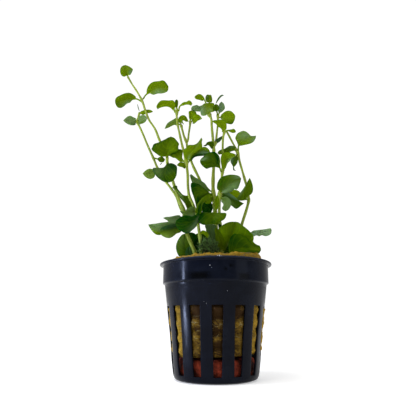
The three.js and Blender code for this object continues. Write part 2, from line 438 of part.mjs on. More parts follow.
const LEAVES = {
  a_crown: {
    path: [[-48.1, 156.4, -4], [-49, 159.8, -4.8], [-49.6, 163.4, -4]],
    left: [[-49.6, 156.1], [-51, 156.6], [-52, 158.3], [-52.3, 160.2], [-52, 161.9], [-51, 163]],
    right: [[-46.9, 157.2], [-46, 159], [-45.6, 160.6], [-46.7, 161.8], [-48.1, 162.8]],
    stalk: 0.05,
  },
  a_right: {
    path: [[-39, 142.3, -4], [-37, 145.4, -4], [-31.4, 149.2, -5], [-25.3, 148.9, -5]],
    left: [[-37, 147.6], [-36.3, 150], [-35, 151.7], [-33.4, 152.7], [-30.8, 153.1], [-29, 153.6],
      [-27.6, 153.2], [-26.3, 151.6], [-25.5, 150.2]],
    right: [[-35.6, 146], [-34.4, 145.3], [-33.2, 145.2], [-31.2, 145.8], [-29.1, 145.8], [-27, 146.3],
      [-25.7, 147.3]],
    stalk: 0.33,
  },
  a_left: {
    path: [[-40.6, 140.8, -4], [-42.9, 142.4, -4], [-48.5, 142.2, -5], [-54.1, 139.8, -6]],
    left: [[-44.8, 142], [-46, 140.4], [-47.6, 139.8], [-49.5, 137.8], [-51, 137], [-52.5, 137.3],
      [-53.4, 138.4]],
    right: [[-43.3, 143.6], [-45.4, 145.3], [-47.2, 145.8], [-49.2, 145.5], [-51.2, 144.6], [-53.4, 143.3],
      [-54.2, 141.6]],
    stalk: 0.33,
  },
  a_face: {
    path: [[-25.4, 108.4, -6.2], [-25.4, 112, -6.8], [-24.6, 116, -8.4], [-23.4, 120.2, -9]],
    left: [[-27.9, 108.7], [-30.5, 110.4], [-33.1, 112.6], [-32.7, 114.2], [-32.1, 115.8], [-29.9, 116.7],
      [-28, 117.7], [-26.3, 118.6], [-24.9, 119.5]],
    right: [[-23.9, 109.3], [-22.2, 110.4], [-20.5, 111.4], [-19.5, 113], [-19.5, 114.6], [-19.1, 116],
      [-20.2, 117.7], [-21.6, 119.4]],
    stalk: 0.04,
  },
  a_drop: {
    path: [[-24.6, 105.2, -6.2], [-25.2, 103, -7.4], [-26, 98.8, -10], [-24.2, 94.4, -11]],
    left: [[-23.4, 105.3], [-21.4, 104.6], [-20.1, 103.2], [-20, 100.5], [-20.2, 98.2], [-21.2, 96],
      [-22.6, 94.9]],
    right: [[-26.3, 102.7], [-28.5, 101.9], [-30.4, 102.4], [-31.8, 102.5], [-32.2, 101.3], [-31.2, 99.2],
      [-29.2, 96.9], [-26.6, 95]],
    stalk: 0.08,
  },
  a_curl: {
    path: [[-14.5, 79.4, -5.8], [-13.4, 82.6, -5], [-15.6, 86.6, -6], [-20.8, 93, -8.6]],
    left: [[-14.4, 81.4], [-15.2, 83.3], [-16.5, 85], [-18, 86.8], [-19.1, 89.4], [-21, 90.9], [-22, 91.8]],
    right: [[-11.9, 81.8], [-12, 84.5], [-12.9, 87.2], [-15.4, 87.4], [-17, 88.1], [-18.5, 89.2],
      [-19.5, 91], [-19.5, 92.6]],
    stalk: 0.12,
  },
  b_upper_left: {
    path: [[-42, 128.9, -3.4], [-43.7, 129.2, -4], [-46.2, 129.5, -5], [-49.2, 129.5, -6]],
    left: [[-42.5, 127.3], [-43.9, 126.9], [-45.4, 127], [-46.8, 127.6], [-48.2, 128.5]],
    right: [[-42.5, 130.4], [-43.8, 131.1], [-45.2, 132], [-46.6, 131.9], [-47.9, 130.9]],
    stalk: 0.05,
  },
  b_upper_right: {
    path: [[-40.9, 129.2, -4], [-40, 129.8, -4.8], [-38.6, 130.4, -5.4], [-36.4, 130.4, -6]],
    left: [[-41, 130.8], [-39.8, 132.2], [-38.2, 132.6], [-37, 131.8]],
    right: [[-41, 127.4], [-39.5, 127.7], [-38.2, 128.1], [-37, 129]],
    stalk: 0.03,
  },
  b_low_left: {
    path: [[-31.2, 101.4, -3.4], [-32.4, 100, -4], [-34.6, 99.2, -4.6], [-37.6, 99.4, -5]],
    left: [[-31.4, 98], [-32.9, 96.7], [-34.7, 96.8], [-36.4, 98]],
    right: [[-32.2, 101.6], [-34.2, 101.8], [-36, 101]],
    stalk: 0.06,
  },
  c_left: {
    path: [[-21.6, 134.3, -6], [-22.3, 136.9, -6.2], [-24.2, 139, -7], [-28.4, 139.3, -8],
      [-30.9, 136, -8]],
    left: [[-22.2, 135.4], [-22.9, 136.3], [-24.2, 137.4], [-26, 137.9], [-28, 137.6], [-29.8, 136.9]],
    right: [[-21.7, 137.6], [-21.9, 139.8], [-23, 141.3], [-25, 141.2], [-27.9, 141.4], [-29.4, 141.1],
      [-30.8, 139.6], [-31.6, 137.6]],
    stalk: 0.18,
  },
  c_right: {
    path: [[-19.5, 135.1, -6], [-18.9, 138, -6], [-16.4, 139.6, -7], [-14, 140.1, -8], [-12.1, 139.5, -8]],
    left: [[-16.9, 140.1], [-15.4, 140.4], [-14.2, 141.3], [-13, 140.9]],
    right: [[-17.2, 138.7], [-15.6, 139.1], [-14, 138.9], [-12.8, 138.4]],
    stalk: 0.3,
  },
  d_left: {
    path: [[-19.3, 127.4, 0], [-21.2, 128.5, 0], [-24, 127.2, -1], [-26.9, 124.5, -2]],
    left: [[-20.3, 126.8], [-21.6, 127.2], [-23, 126.5], [-24.6, 125.5], [-25.8, 124.9]],
    right: [[-20.2, 130.8], [-22.7, 129.6], [-24.7, 128.4], [-25.9, 127]],
    stalk: 0.03,
  },
  d_fork_up: {
    path: [[-13.3, 129.7, 0.6], [-12.8, 132, 1.4], [-12.7, 135.5, 1.6]],
    left: [[-13.6, 131], [-13.9, 133], [-14, 134.8]],
    right: [[-11.6, 130.6], [-10.2, 132.8], [-10.2, 134.3], [-11.2, 135.3]],
    stalk: 0.04,
  },
  d_fork_right: {
    path: [[-12.2, 129.2, 0.6], [-10.4, 130.3, -0.6], [-6.8, 130.5, -2]],
    left: [[-12, 130.9], [-10.8, 133], [-9.4, 133], [-7.9, 132.1]],
    right: [[-12.2, 128.1], [-11.5, 127.7], [-10.4, 128.3], [-9.2, 129.4], [-7.8, 130]],
    stalk: 0.03,
  },
  e_pale: {
    path: [[-3.8, 133.8, -2], [-6.5, 136.2, -1.5], [-9.5, 136.7, -2], [-13, 136.2, -3]],
    left: [[-5.8, 134.8], [-7.8, 135], [-10, 135], [-12, 135.2]],
    right: [[-5, 137.6], [-6.9, 138.2], [-8.5, 137.9], [-9.6, 138.6], [-11, 138.3], [-12.3, 137.8]],
    stalk: 0.15,
  },
  e_broad: {
    path: [[-2.6, 134, -3.6], [-3, 136.6, -4.4], [-3.2, 140, -5]],
    left: [[-4, 132.9], [-5.4, 132.3], [-7, 132.6], [-7.6, 134.6], [-7.3, 136.6], [-7, 138.2],
      [-5.5, 139.7]],
    right: [[-1.4, 134.4], [-0.6, 135], [-0.5, 136.6], [-0.4, 138.4], [-0.6, 139.7], [-1.8, 140]],
    stalk: 0.03,
  },
  e_small: {
    path: [[-3.9, 135, -1], [-4.8, 139.6, -1], [-6, 142.2, -1], [-8.3, 143.6, -1.4], [-11.1, 143.2, -2]],
    left: [[-6.4, 141.4], [-7.6, 141.7], [-8.8, 142], [-10.3, 142.3]],
    right: [[-6.2, 143.3], [-6.9, 144.3], [-7.8, 145], [-8.8, 145.2], [-9.9, 144.7], [-10.8, 144]],
    stalk: 0.46,
  },
  f_upright: {
    path: [[2.3, 133.6, -1], [2.9, 137, -1], [3.6, 140.8, -1]],
    left: [[2, 135.2], [2.1, 137.5], [2.6, 139.6]],
    right: [[3.2, 134.4], [4.3, 135.4], [5.2, 136.6], [5.2, 138], [4.7, 139.7]],
    stalk: 0.08, fold: 25,
  },
  f_right: {
    path: [[2.5, 131.2, -1], [4.2, 131.4, -1.4], [7.6, 131.4, -3], [10.9, 130.8, -4]],
    left: [[3.5, 132.6], [4.7, 133.8], [5.8, 134.7], [7.2, 135.1], [8.7, 134.9], [10.1, 133.6],
      [10.9, 132.3]],
    right: [[3.9, 129.6], [5.2, 128.3], [6.8, 127.8], [8.5, 127.4], [9.5, 127.8], [10.4, 129.3]],
    stalk: 0.1,
  },
  g_wing: {
    path: [[4, 122.8, -3.2], [4.4, 126, -4], [2.4, 128.4, -4.6], [-1.7, 128.9, -5]],
    left: [[3.7, 124.4], [2.8, 125.4], [1.6, 126], [0.9, 127.2], [0, 127.9]],
    right: [[5.7, 124.4], [6, 126.6], [5.7, 128.1], [4.5, 129], [3, 129.9], [1.2, 129.7], [-0.5, 129.6]],
    stalk: 0.08,
  },
  h_right: {
    path: [[12.2, 112, 0.2], [12.6, 115.2, 0], [15.6, 118.4, -1], [21.9, 120.7, -2]],
    left: [[11.8, 117], [11, 118.9], [11.8, 121.3], [13.5, 122.7], [15.5, 123.3], [17.5, 122.2],
      [19, 120.6], [20.6, 120.5]],
    right: [[14, 115.2], [16.7, 115.8], [18.6, 116.3], [20.2, 117.2], [21.4, 118.9]],
    stalk: 0.31,
  },
  h_arch: {
    path: [[10.7, 112.2, 0], [8.8, 113.2, 0], [5.6, 112.1, 0.6], [1.2, 110.7, 1.4]],
    left: [[10, 112.3], [8.6, 111.9], [7.1, 111.2], [4.8, 110.8], [2.9, 110.1], [2, 110]],
    right: [[10.6, 113.6], [9.2, 114.6], [7.5, 114.5], [6.1, 113.7], [4.9, 113], [3.3, 112.7],
      [1.9, 111.9]],
    stalk: 0.06,
  },
  h_hanging: {
    path: [[11.5, 110, 0.4], [10.6, 107.4, -1], [9.8, 104.8, -2], [9.4, 102.6, -2]],
    left: [[11.7, 108.2], [11.6, 106.2], [11, 104.5], [10.1, 103.3]],
    right: [[10, 108.4], [8.6, 107], [8.2, 105.8], [8.8, 104.3], [9.3, 103.2]],
    stalk: 0.1,
  },
  h_upturned: {
    path: [[16.4, 85.4, 1], [14.4, 86.2, 0], [15.6, 91, -2], [17.8, 97.1, -2]],
    left: [[13.2, 85.1], [11.6, 85.3], [10.3, 86.1], [11.6, 87.7], [12.9, 89], [14.2, 90.7], [15.4, 92.7],
      [16.5, 94.8]],
    right: [[16.6, 86.6], [17.7, 87.7], [18.9, 89.5], [19.2, 91.2], [19.1, 93.2], [18.5, 95.6]],
    stalk: 0.08,
  },
  c_behind: {
    path: [[-16.3, 105.9, -6.2], [-18.2, 107.8, -5.6], [-20.8, 109.3, -5], [-24, 109.2, -4]],
    left: [[-18, 106.1], [-19.3, 107], [-20.7, 108], [-22.2, 108.3]],
    right: [[-17.4, 108], [-17.1, 110.4], [-17.4, 112.3], [-19.2, 112.8], [-21.4, 112], [-23.4, 110.8]],
    stalk: 0.04,
  },
  c_rising: {
    path: [[-14.6, 106.2, -8], [-13.6, 110, -9], [-10.8, 113.4, -9.6], [-7.2, 119.7, -9]],
    left: [[-15.7, 108.3], [-16.3, 110.8], [-16, 112.7], [-14.9, 113.6], [-14.2, 114.9], [-13.3, 115.3],
      [-11.1, 115.4], [-9.4, 116.3], [-8.3, 117.8]],
    right: [[-13.2, 107.8], [-12.3, 109.8], [-10.6, 111.2], [-9, 112.4], [-7.2, 113.7], [-6.8, 115],
      [-7, 117], [-6.7, 118.5]],
    stalk: 0.05,
  },
  c_arching: {
    path: [[-14, 105.4, -6.6], [-12, 109, -5.4], [-8, 111.4, -5], [-2.5, 111.3, -6]],
    left: [[-12.8, 109.2], [-11.4, 111], [-9.2, 112.5], [-7.2, 113.7], [-5.8, 114.2], [-4.4, 113.8],
      [-3.2, 112.7]],
    right: [[-12.6, 106.6], [-11.3, 108.3], [-9.8, 109], [-8.1, 109.2], [-6.4, 109.3], [-5, 109.5],
      [-3.6, 110.2]],
    stalk: 0.12,
  },
  g_left: {
    path: [[3, 100.6, -5], [2, 103.2, -6], [-1.8, 106.2, -8], [-8, 106.3, -9]],
    left: [[0.6, 103.2], [-1.6, 103], [-3, 102.6], [-4.5, 102.2], [-6.4, 103.5], [-7.5, 104.9]],
    right: [[2.4, 104.4], [2.4, 107], [1.7, 109.3], [0, 111.1], [-1.8, 111.2], [-4.8, 110.2], [-6.4, 108.4],
      [-7.4, 107.5]],
    stalk: 0.25,
  },
  g_right: {
    path: [[4.5, 101, -4.6], [4.7, 104, -5.4], [6.2, 108, -6], [11.1, 109.9, -7]],
    left: [[3.7, 103.5], [3.2, 106], [3.3, 108.8], [4.5, 110.7], [7.1, 111.1], [9.1, 110.7]],
    right: [[5.3, 102.8], [6.2, 105], [7.6, 106.4], [9, 107.9], [10.3, 108.9]],
    stalk: 0.06,
  },
  e_upper_left: {
    path: [[-2.2, 89.8, -2.4], [-5, 91.2, -3], [-9.4, 94, -5], [-13.2, 98.4, -6]],
    left: [[-5.2, 90.1], [-7.5, 91.2], [-9.9, 92.7], [-11.6, 94.4], [-12.4, 96], [-12.9, 97.6]],
    right: [[-4.2, 91.9], [-5.4, 93.8], [-8, 95.7], [-10.5, 97.4], [-12.4, 99]],
    stalk: 0.04,
  },
  e_lower_left: {
    path: [[-2.4, 88.4, -3.7], [-5.6, 89.4, -5], [-9.4, 87.4, -8.6], [-9.3, 80.4, -10]],
    left: [[-3.9, 88.1], [-5.7, 86.6], [-7.8, 84.9], [-8.8, 83.4], [-9, 81.7]],
    right: [[-5.2, 90.6], [-8.3, 93.2], [-11.6, 94.3], [-12.5, 93.2], [-12, 89.8], [-11.2, 87.6],
      [-10.2, 84.1], [-9.8, 81.9]],
    stalk: 0.04,
  },
  e_arc: {
    path: [[-1.9, 87, -3.9], [-4.6, 86.2, -7.4], [-7.2, 83.4, -10.6], [-8, 79.2, -11.6]],
    left: [[-3.2, 86], [-4.5, 85], [-5.9, 83.9], [-6.8, 82.6], [-7, 80.8], [-7.2, 79.8]],
    right: [[-3.4, 87.9], [-5, 87.2], [-6.6, 86], [-8, 84.4], [-9.2, 82.6], [-9.4, 81], [-9, 79.9]],
    stalk: 0.1,
  },
  g_broad: {
    path: [[2.8, 89.4, -6.2], [4.6, 91.2, -6.6], [8.6, 94.4, -8], [13.5, 96.7, -8]],
    left: [[1.3, 90.6], [1.2, 93.2], [2, 95.5], [3.6, 97.4], [7.1, 98.6], [10.2, 98.6], [12.3, 98]],
    right: [[4.1, 88.9], [6.2, 89.1], [8.6, 90], [9.7, 91.2], [10.7, 90.8], [11.8, 91.8], [12.4, 93.2],
      [13, 94.9]],
    stalk: 0.03,
  },
  g_bright: {
    path: [[3.1, 88.4, -4], [6.4, 88.9, -3.4], [9.6, 88.6, -3.4], [12.9, 89, -4]],
    left: [[8, 90.2], [10.1, 90.5], [11.8, 90]],
    right: [[7.4, 87.8], [8.7, 86.8], [10.1, 86.2], [11.7, 87.2]],
    stalk: 0.3,
  },
  g_lobe: {
    path: [[2.9, 86.4, -5.4], [4.8, 85.2, -6.4], [5.8, 82.6, -7.4], [5.2, 79.2, -8]],
    left: [[5.6, 86.6], [7.4, 85.2], [8, 83.2], [7.4, 81.3], [6.4, 79.9]],
    right: [[3.2, 84.6], [4.1, 83.5], [4.2, 82.3], [3.5, 80.9], [4, 79.8]],
    stalk: 0.05,
  },
  g_dark: {
    path: [[3.1, 87.4, -4.6], [6, 86.6, -5], [10.2, 84.6, -5.4], [14.6, 83.3, -6]],
    left: [[4.3, 88.8], [6.2, 88.9], [8.2, 87.9], [10, 86.5], [11.4, 85.3], [12.9, 84.2]],
    right: [[4, 85], [6, 83.6], [8.4, 82.3], [9.5, 81.2], [10.6, 80.6], [11.9, 81.2], [13.2, 82.3]],
    stalk: 0.03,
  },
  e_front: {
    path: [[-0.4, 79.2, -3.4], [-0.7, 78.4, -7.6], [-0.9, 75.8, -10.6], [-0.9, 72.4, -12]],
    left: [[2.2, 78.5], [5.1, 78.3], [5.2, 76.8], [4.5, 75.2], [2.8, 74], [1.6, 73.2], [0.4, 72.7]],
    right: [[-3.2, 78.5], [-5.6, 78.4], [-7.6, 77.8], [-7.5, 75.6], [-6.7, 73.8], [-5, 72.6], [-3, 72.6]],
    stalk: 0.3,
  },
  c_front: {
    path: [[-8.4, 73.8, -9.6], [-9.8, 74.6, -11.6], [-14, 73.4, -13.4], [-20.1, 73, -13]],
    left: [[-9.2, 71.8], [-11.4, 69.9], [-14.2, 67.9], [-17.1, 69.1], [-18.6, 70], [-19.7, 71.7]],
    right: [[-8.4, 75.2], [-7.9, 77.2], [-8.2, 78.6], [-9.4, 77.6], [-10.6, 76.8], [-12, 76.4], [-14.9, 77],
      [-16.8, 76.5], [-18.4, 75.4], [-19.8, 74.2]],
    stalk: 0.03,
  },
  c_shelf: {
    path: [[-9.9, 79, -8.6], [-12, 78.7, -9.4], [-15, 78.3, -10.4], [-18, 79.3, -11]],
    left: [[-10.4, 77.5], [-11.7, 76.8], [-13.4, 77.3], [-15.2, 77.3], [-16.6, 77.8]],
    right: [[-10.8, 80.2], [-12.2, 80.6], [-13.6, 79.8], [-15.2, 79], [-16.8, 79.3]],
    stalk: 0.04,
  },
  a_spear: {
    path: [[-16.6, 75.8, -6], [-19.4, 75.6, -7], [-23, 75.3, -8.6], [-26.4, 75.8, -9]],
    left: [[-17.6, 73.6], [-20.5, 72.9], [-23.1, 73.2], [-24, 74.4], [-25.4, 75.2]],
    right: [[-18.3, 76.9], [-20.9, 76.6], [-22.8, 76.3], [-25, 76.2]],
    stalk: 0.04,
  },
  a_long: {
    path: [[-16.6, 72, -6], [-20.4, 71.8, -6], [-27, 70.6, -7.6], [-33.7, 72.4, -8]],
    left: [[-19, 69.4], [-23.5, 68.4], [-27.5, 67.2], [-28.8, 67.2], [-29.8, 67.5], [-31.3, 68.8],
      [-32.3, 70.1], [-33.2, 71.4]],
    right: [[-18.5, 73.1], [-20.5, 73.4], [-22.8, 73.6], [-24.9, 73.4], [-27.3, 73.2], [-29.9, 72.8],
      [-32.1, 72.6]],
    stalk: 0.06,
  },
  a_under: {
    path: [[-16, 70.4, -6], [-19.4, 70, -7.4], [-23.6, 69.1, -9.4], [-27.5, 68.3, -10]],
    left: [[-17.4, 68.8], [-19.4, 68], [-20.6, 66.9], [-22.5, 65.7], [-24.3, 65.7], [-25.4, 66.1],
      [-26.8, 66.9]],
    right: [[-17.8, 71.9], [-20.5, 72.5], [-23.5, 72.1], [-26, 71.1], [-27.4, 70.1]],
    stalk: 0.08,
  },
  a_round: {
    path: [[-11.4, 58.6, -4.5], [-13.6, 58.4, -3.8], [-15, 62.6, -3], [-14.8, 67.8, -2.4]],
    left: [[-15.4, 56.1], [-17.8, 56.7], [-19.1, 59.4], [-19.3, 61.8], [-18.7, 64.1], [-17.5, 66.2],
      [-16.3, 67.4]],
    right: [[-11.8, 57.9], [-11.2, 59.6], [-11, 62.4], [-9.6, 65.2], [-10.2, 67.6], [-12.4, 68.4]],
    stalk: 0.25, fold: -4,
  },
  g_grey: {
    path: [[1.5, 72.7, -5.8], [-2, 72.4, -6], [-2.4, 66, -6.4], [-1, 59, -6.6]],
    left: [[-0.4, 72.2], [0.1, 71.4], [0.3, 69], [0.2, 66], [0.2, 63], [-0.1, 60.5]],
    right: [[-3.4, 73], [-4.9, 71.8], [-4.4, 69.8], [-3.8, 68], [-3.3, 65], [-2.7, 62]],
    stalk: 0.3,
  },
  g_tall: {
    path: [[4.2, 60, -5.6], [2.6, 62, -6.6], [1.6, 66.4, -7.9], [0.6, 71, -8.4]],
    left: [[2.4, 60], [0.8, 61.6], [0.2, 64], [0.1, 67], [-0.4, 69.8]],
    right: [[4.5, 61.4], [4.9, 63.3], [4.4, 65.4], [3.2, 67.6], [1.8, 69.6]],
    stalk: 0.03,
  },
  g_coin: {
    path: [[4.5, 59.6, -6.2], [6, 62.6, -8.6], [8.4, 66.8, -11], [10.2, 73.9, -10]],
    left: [[4.1, 60], [4.6, 61.6], [4.9, 63.3], [4.3, 65.5], [3, 67.6], [1.9, 69.6], [3.1, 71.4],
      [4.8, 72.7], [7.2, 73.7]],
    right: [[8, 58.7], [12, 58.5], [16, 58.4], [18.6, 60.8], [18.4, 63.6], [18.8, 65.6], [18.5, 67],
      [17.3, 68.5], [15.3, 70.5], [13.2, 72.2], [11.6, 73.5]],
    stalk: 0.02, fold: 16,
  },
  h_side: {
    path: [[10.7, 60.4, 6], [14, 61, 0], [18.2, 61.4, -4], [22.3, 59.8, -5]],
    left: [[15.2, 63.6], [17, 64.6], [18.4, 63.8], [19.3, 62.8], [20.6, 62], [21.9, 61.5]],
    right: [[15.5, 59], [17.5, 58.5], [19.6, 58.2], [21.3, 57.9], [22, 58.8]],
    stalk: 0.4,
  },
  h_wavy: {
    path: [[14.4, 67.8, 5], [18, 67.8, 4], [23.2, 68.3, 2], [28.1, 69.3, 1]],
    left: [[18.8, 68.9], [20.3, 69.2], [22.3, 69.5], [25, 69.9], [27.6, 70.4]],
    right: [[19, 66.7], [20.4, 67.1], [21.8, 66.6], [23, 67.1], [24.2, 66.7], [25.4, 66.6], [26.9, 67.1],
      [27.8, 68.1]],
    stalk: 0.28,
  },
};

const stemMaterial = new THREE.MeshStandardMaterial({ color: '#7f8f3a', roughness: 0.5, metalness: 0 });
const leafMaterial = new THREE.MeshStandardMaterial({ color: '#4a7412', roughness: 0.45, metalness: 0 });
const materials = {
  pot: new THREE.MeshStandardMaterial({ color: '#16181d', roughness: 0.35, metalness: 0 }),
  clay: new THREE.MeshStandardMaterial({ color: '#6a2c1c', roughness: 0.9, metalness: 0 }),
  wool: new THREE.MeshStandardMaterial({ color: '#8a7430', roughness: 0.95, metalness: 0 }),
};

const plant = new THREE.Group();

function addPiece(name, geometry, material) {
  const piece = new THREE.Mesh(geometry, material.clone());
  piece.name = name;
  plant.add(piece);
}

function grownStem(key) {
  let solid = toSolid(stemGeometry(STEMS[key]));
  for (const bud of BUDS.filter(({ stem }) => stem === key)) solid = solid.add(toSolid(leafGeometry(bud)));
  return toGeometry(solid);
}

const rooted = Object.values(STEMS).filter(({ path }) => seen(path[0]).z < WOOL_HEAD);
addPiece('net_pot', potGeometry(), materials.pot);
addPiece('clay_weight', clayGeometry(), materials.clay);
addPiece('rock_wool_plug', woolGeometry(rooted), materials.wool);
for (const key of Object.keys(STEMS)) addPiece(`stem_${key}`, grownStem(key), stemMaterial);
for (const [key, leaf] of Object.entries(LEAVES)) addPiece(`leaf_${key}`, leafGeometry(leaf), leafMaterial);

export default plant;
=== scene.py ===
"""Creeping jenny in a net pot: the looks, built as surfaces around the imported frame.

The tables are in millimetres. Blender's own lengths are metres.
"""

import math
from dataclasses import dataclass, field

import bmesh
import bpy
import numpy as np
from bpy.props import FloatProperty, FloatVectorProperty, IntProperty, PointerProperty
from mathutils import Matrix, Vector


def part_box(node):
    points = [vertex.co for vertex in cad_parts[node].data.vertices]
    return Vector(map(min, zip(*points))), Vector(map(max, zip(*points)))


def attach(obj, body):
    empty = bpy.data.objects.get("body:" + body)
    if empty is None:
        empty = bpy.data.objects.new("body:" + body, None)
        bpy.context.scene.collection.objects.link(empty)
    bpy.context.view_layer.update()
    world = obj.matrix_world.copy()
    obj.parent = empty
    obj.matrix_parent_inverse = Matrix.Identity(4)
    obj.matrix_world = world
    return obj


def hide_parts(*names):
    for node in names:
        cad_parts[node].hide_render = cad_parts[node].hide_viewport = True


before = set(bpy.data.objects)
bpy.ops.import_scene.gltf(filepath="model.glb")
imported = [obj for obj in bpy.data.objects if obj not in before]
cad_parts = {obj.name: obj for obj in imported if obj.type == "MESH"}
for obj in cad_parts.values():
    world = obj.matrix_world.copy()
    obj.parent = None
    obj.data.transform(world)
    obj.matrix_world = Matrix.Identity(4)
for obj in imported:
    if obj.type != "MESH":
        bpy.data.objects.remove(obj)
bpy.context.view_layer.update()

bl_info = {
    "name": "Creeping jenny in a net pot",
    "version": (1, 0, 0),
    "blender": (4, 5, 0),
    "location": "View3D > Sidebar > Creeping jenny",
    "description": "Builds a potted creeping jenny piece by piece, with its finishes and its stage",
    "category": "Add Mesh",
}

BODY = "root"
MM = 0.001

# Place from which every point of a stem or leaf is given: across, up, and how far behind the pot's axis
EYE = np.array([-3.7, -205.0, 26.0])

# Pot
BAND_RADIUS = 25.3
BAND_FOOT = 42.3
STEP_HEIGHT = 0.5
RIM_THICKNESS = 1.1
RIM_ROUND = 0.45
RIM_WAVE_START = 2.2
WALL = 1.0
FLOOR = 1.4
POT_HEAD = 52
POT_MIDDLE = 3.0
# The pot's outside from the foot to the step under the band, as radius and height
BODY_OUTLINE = np.array(
    [(17, 0), (18.9, 0.7), (19.6, 2.2), (20.4, 8), (21.3, 18), (22.8, 30), (24.4, BAND_FOOT)]
)
SLOT_COUNT = 14
SLOT_FIRST_ANGLE = 1.0
SLOT_FOOT = 3.1
SLOT_HEAD = 32.4
SLOT_FOOT_WIDTH = 3.4
SLOT_HEAD_WIDTH = 5.0
FLOOR_SLOT_START = 6.0
FLOOR_SLOT_END = 14.0
# Places on the front of the band that are still damp: across, height, half width and half height
POT_STAINS = [(-7.4, 44.6, 5.3, 1.8), (11.9, 44.4, 2.6, 1.5), (6.4, 48.4, 0.8, 0.6), (3.8, 47.2, 0.7, 0.6)]
# The painted highlight on the rim's top, a lighter colour at the front, begins between these heights, and the
# band carries this even share of that colour
RIM_SHEEN_START = 51.2
RIM_SHEEN_END = 51.9
BAND_LIFT = 0.09
# Spots of lime, with the three on the rim's front top as white crumbs that paint the rim's glints: angle from
# the front in degrees, to the right, height and radius
LIME_AND_GLINT_SPOTS = [
    (-6.5, 48.9, 0.15), (-4.9, 47.9, 0.07), (4.3, 52.6, 0.17), (2.6, 52.7, 0.26), (0.9, 52.8, 0.15),
    (-13.5, 33.9, 0.07), (-11, 32.9, 0.08), (11, 38.2, 0.08),
]
# How tall and how thick a spot is beside its width
LIME_TALL = 1.3
LIME_FLAT = 0.35
# The pot's outside up to the rim, on which the spots sit, as radius and height
LIME_REACH = np.vstack([BODY_OUTLINE, [(BAND_RADIUS, BAND_FOOT + 0.1), (BAND_RADIUS, 51), (26.9, 51.1)]])

# Rock wool
WOOL_FOOT = 10.05
# How far the edge of its foot rises, and what it gains for every millimetre to the right
WOOL_FOOT_RISE = 0.5
WOOL_FOOT_SLOPE = 0.03
WOOL_CROWN_FOOT = 47.0
WOOL_ROLL_CREST = 12.4
# Heights between which the wall turns into the crown, and the radius inside which there is no wall
WOOL_SHOULDER = (46, 50)
WOOL_WALL_START = 15
# How far the rolls wander up and down, how much of them fades at the sides, and what slots add to them
ROLL_WANDER = 0.25
ROLL_FADE = 0.75
ROLL_IN_SLOT = 0.45
# How far the wall of the wool stays inside its outline
WOOL_SLACK = 0.15
# How far the wool swells into the slots: those in front, and what the ones at the sides add
WOOL_SLOT_BULGE = 0.8
WOOL_SIDE_BULGE = 0.4
# Share of a slot's width that the swelling fills
WOOL_SLOT_FILL = 0.95
# The slot at the far right, where a tuft has come through: its angle, spread and how far it stands out
WOOL_TUFT_ANGLE = 72.0
WOOL_TUFT_SPREAD = 10.0
WOOL_TUFT_DEPTH = 0.9
# Rows and columns of the wool's skin, and its sizes of noise: share, size over a tuft's, flatness and seed
WOOL_GRID = (190, 420)
WOOL_POLE_GAP = 0.002
WOOL_NOISE = [(0.5, 3.2, 2.2, 11), (0.3, 1, 2.2, 12), (0.2, 0.45, 1, 13)]
# How far that noise moves the wall, and what it gains on the crown
WOOL_ROUGHNESS = 0.14
CROWN_ROUGHNESS = 0.34
# What painted light takes off the wool's darkening of 1 on the sides and on the rolls' crests, with painted
# shade in the folds between, what the raised tufts take off, and what painted shade at the front middle adds
PAINTED_SIDE_LIGHT = 0.97
PAINTED_CREST_LIGHT = 0.08
TUFT_LIGHTENING = 0.14
PAINTED_FRONT_SHADE = 0.4
# How dark the crown is at its edge, and what its middle adds
CROWN_DARKENING = 0.2
CROWN_MIDDLE_DARKENING = 0.3
# Rise of the crown from left to right: across and rise
WOOL_CROWN = np.array([
    (-22, 0.9), (-17, 1.0), (-11, 0.9), (-7.5, 1.2), (0, 0.9), (5.6, 1.3), (9, 1.9), (14, 2.4), (18, 3.2),
    (20, 3.6), (22, 3.6),
])
# The wool's outline from the middle of the foot to the middle of the crown, as radius and height
WOOL_OUTLINE = np.array([
    (0, 10.05), (14, 10.05), (17.6, 10.3), (19.1, 11.2), (19.7, 13), (20.05, 18), (21.05, 26), (22, 34),
    (23.1, 42), (22.6, 47), (22.1, 49), (22.0, 51.5), (21.3, 53), (20, 53.6), (17, 53.8), (8, 54), (0, 54),
])
# Length of that outline and the wall's usual radius, which turn a fibre's length into shares and angles
WOOL_REACH = 84.0
WOOL_RADIUS = 22.0

# Heights between which the wall's fibres thin out, and above which they lie everywhere
FIBRE_END = (25, 28)
FIBRE_CROWN = 48
# Shares of the outline between which the fibres lie, their least and greatest length, and their tilt
FIBRE_SPAN = (0.32, 0.86)
FIBRE_LENGTH = (1.5, 6)
FIBRE_TILT = 0.35

# Clay weight
CLAY_RADIUS = 17.6
CLAY_HEAD = 9.8
CLAY_ROUND = 1.5
CLAY_GAP = 0.25
CLAY_COLUMNS = 240
# How deep its grains and its pits are worn in, and the pits' width over the grains'
GRAIN_DEPTH = 0.09
PIT_DEPTH = 0.12
PIT_SIZE = 3.5

# Plant
STALK_RADIUS = 0.4
NODE_SWELL = 0.16
NODE_REACH = 1.3
# How far below its own first place a fork leaves its parent
FORK_DROP = 2.5
FORKS = {"b": "a", "d_fork": "d", "e_fork": "e"}
STEM_SIDES = 16
STEM_STEP = 0.55
# A stem's tone at its foot, what painted light adds between two heights, leaving stems darker low in the
# bunch as painted shade, and how much it varies
STEM_TONE = 0.5
STEM_PAINTED_LIGHT = 0.2
STEM_LIGHT_HEIGHTS = (60, 130)
STEM_VARIES = 0.12
BLADE_STATIONS = 44
STALK_STATIONS = 6
BLADE_SIDES = 40
# Share of the blade that the first and last ring keep from its ends
BLADE_END_GAP = 0.004
# Rounding of a folded blade at its rib, as a share of its half width
RIB_ROUND = 0.08
# How much farther along a side vein ends than it starts, as a share of the blade's length
VEIN_SLOPE = 0.45
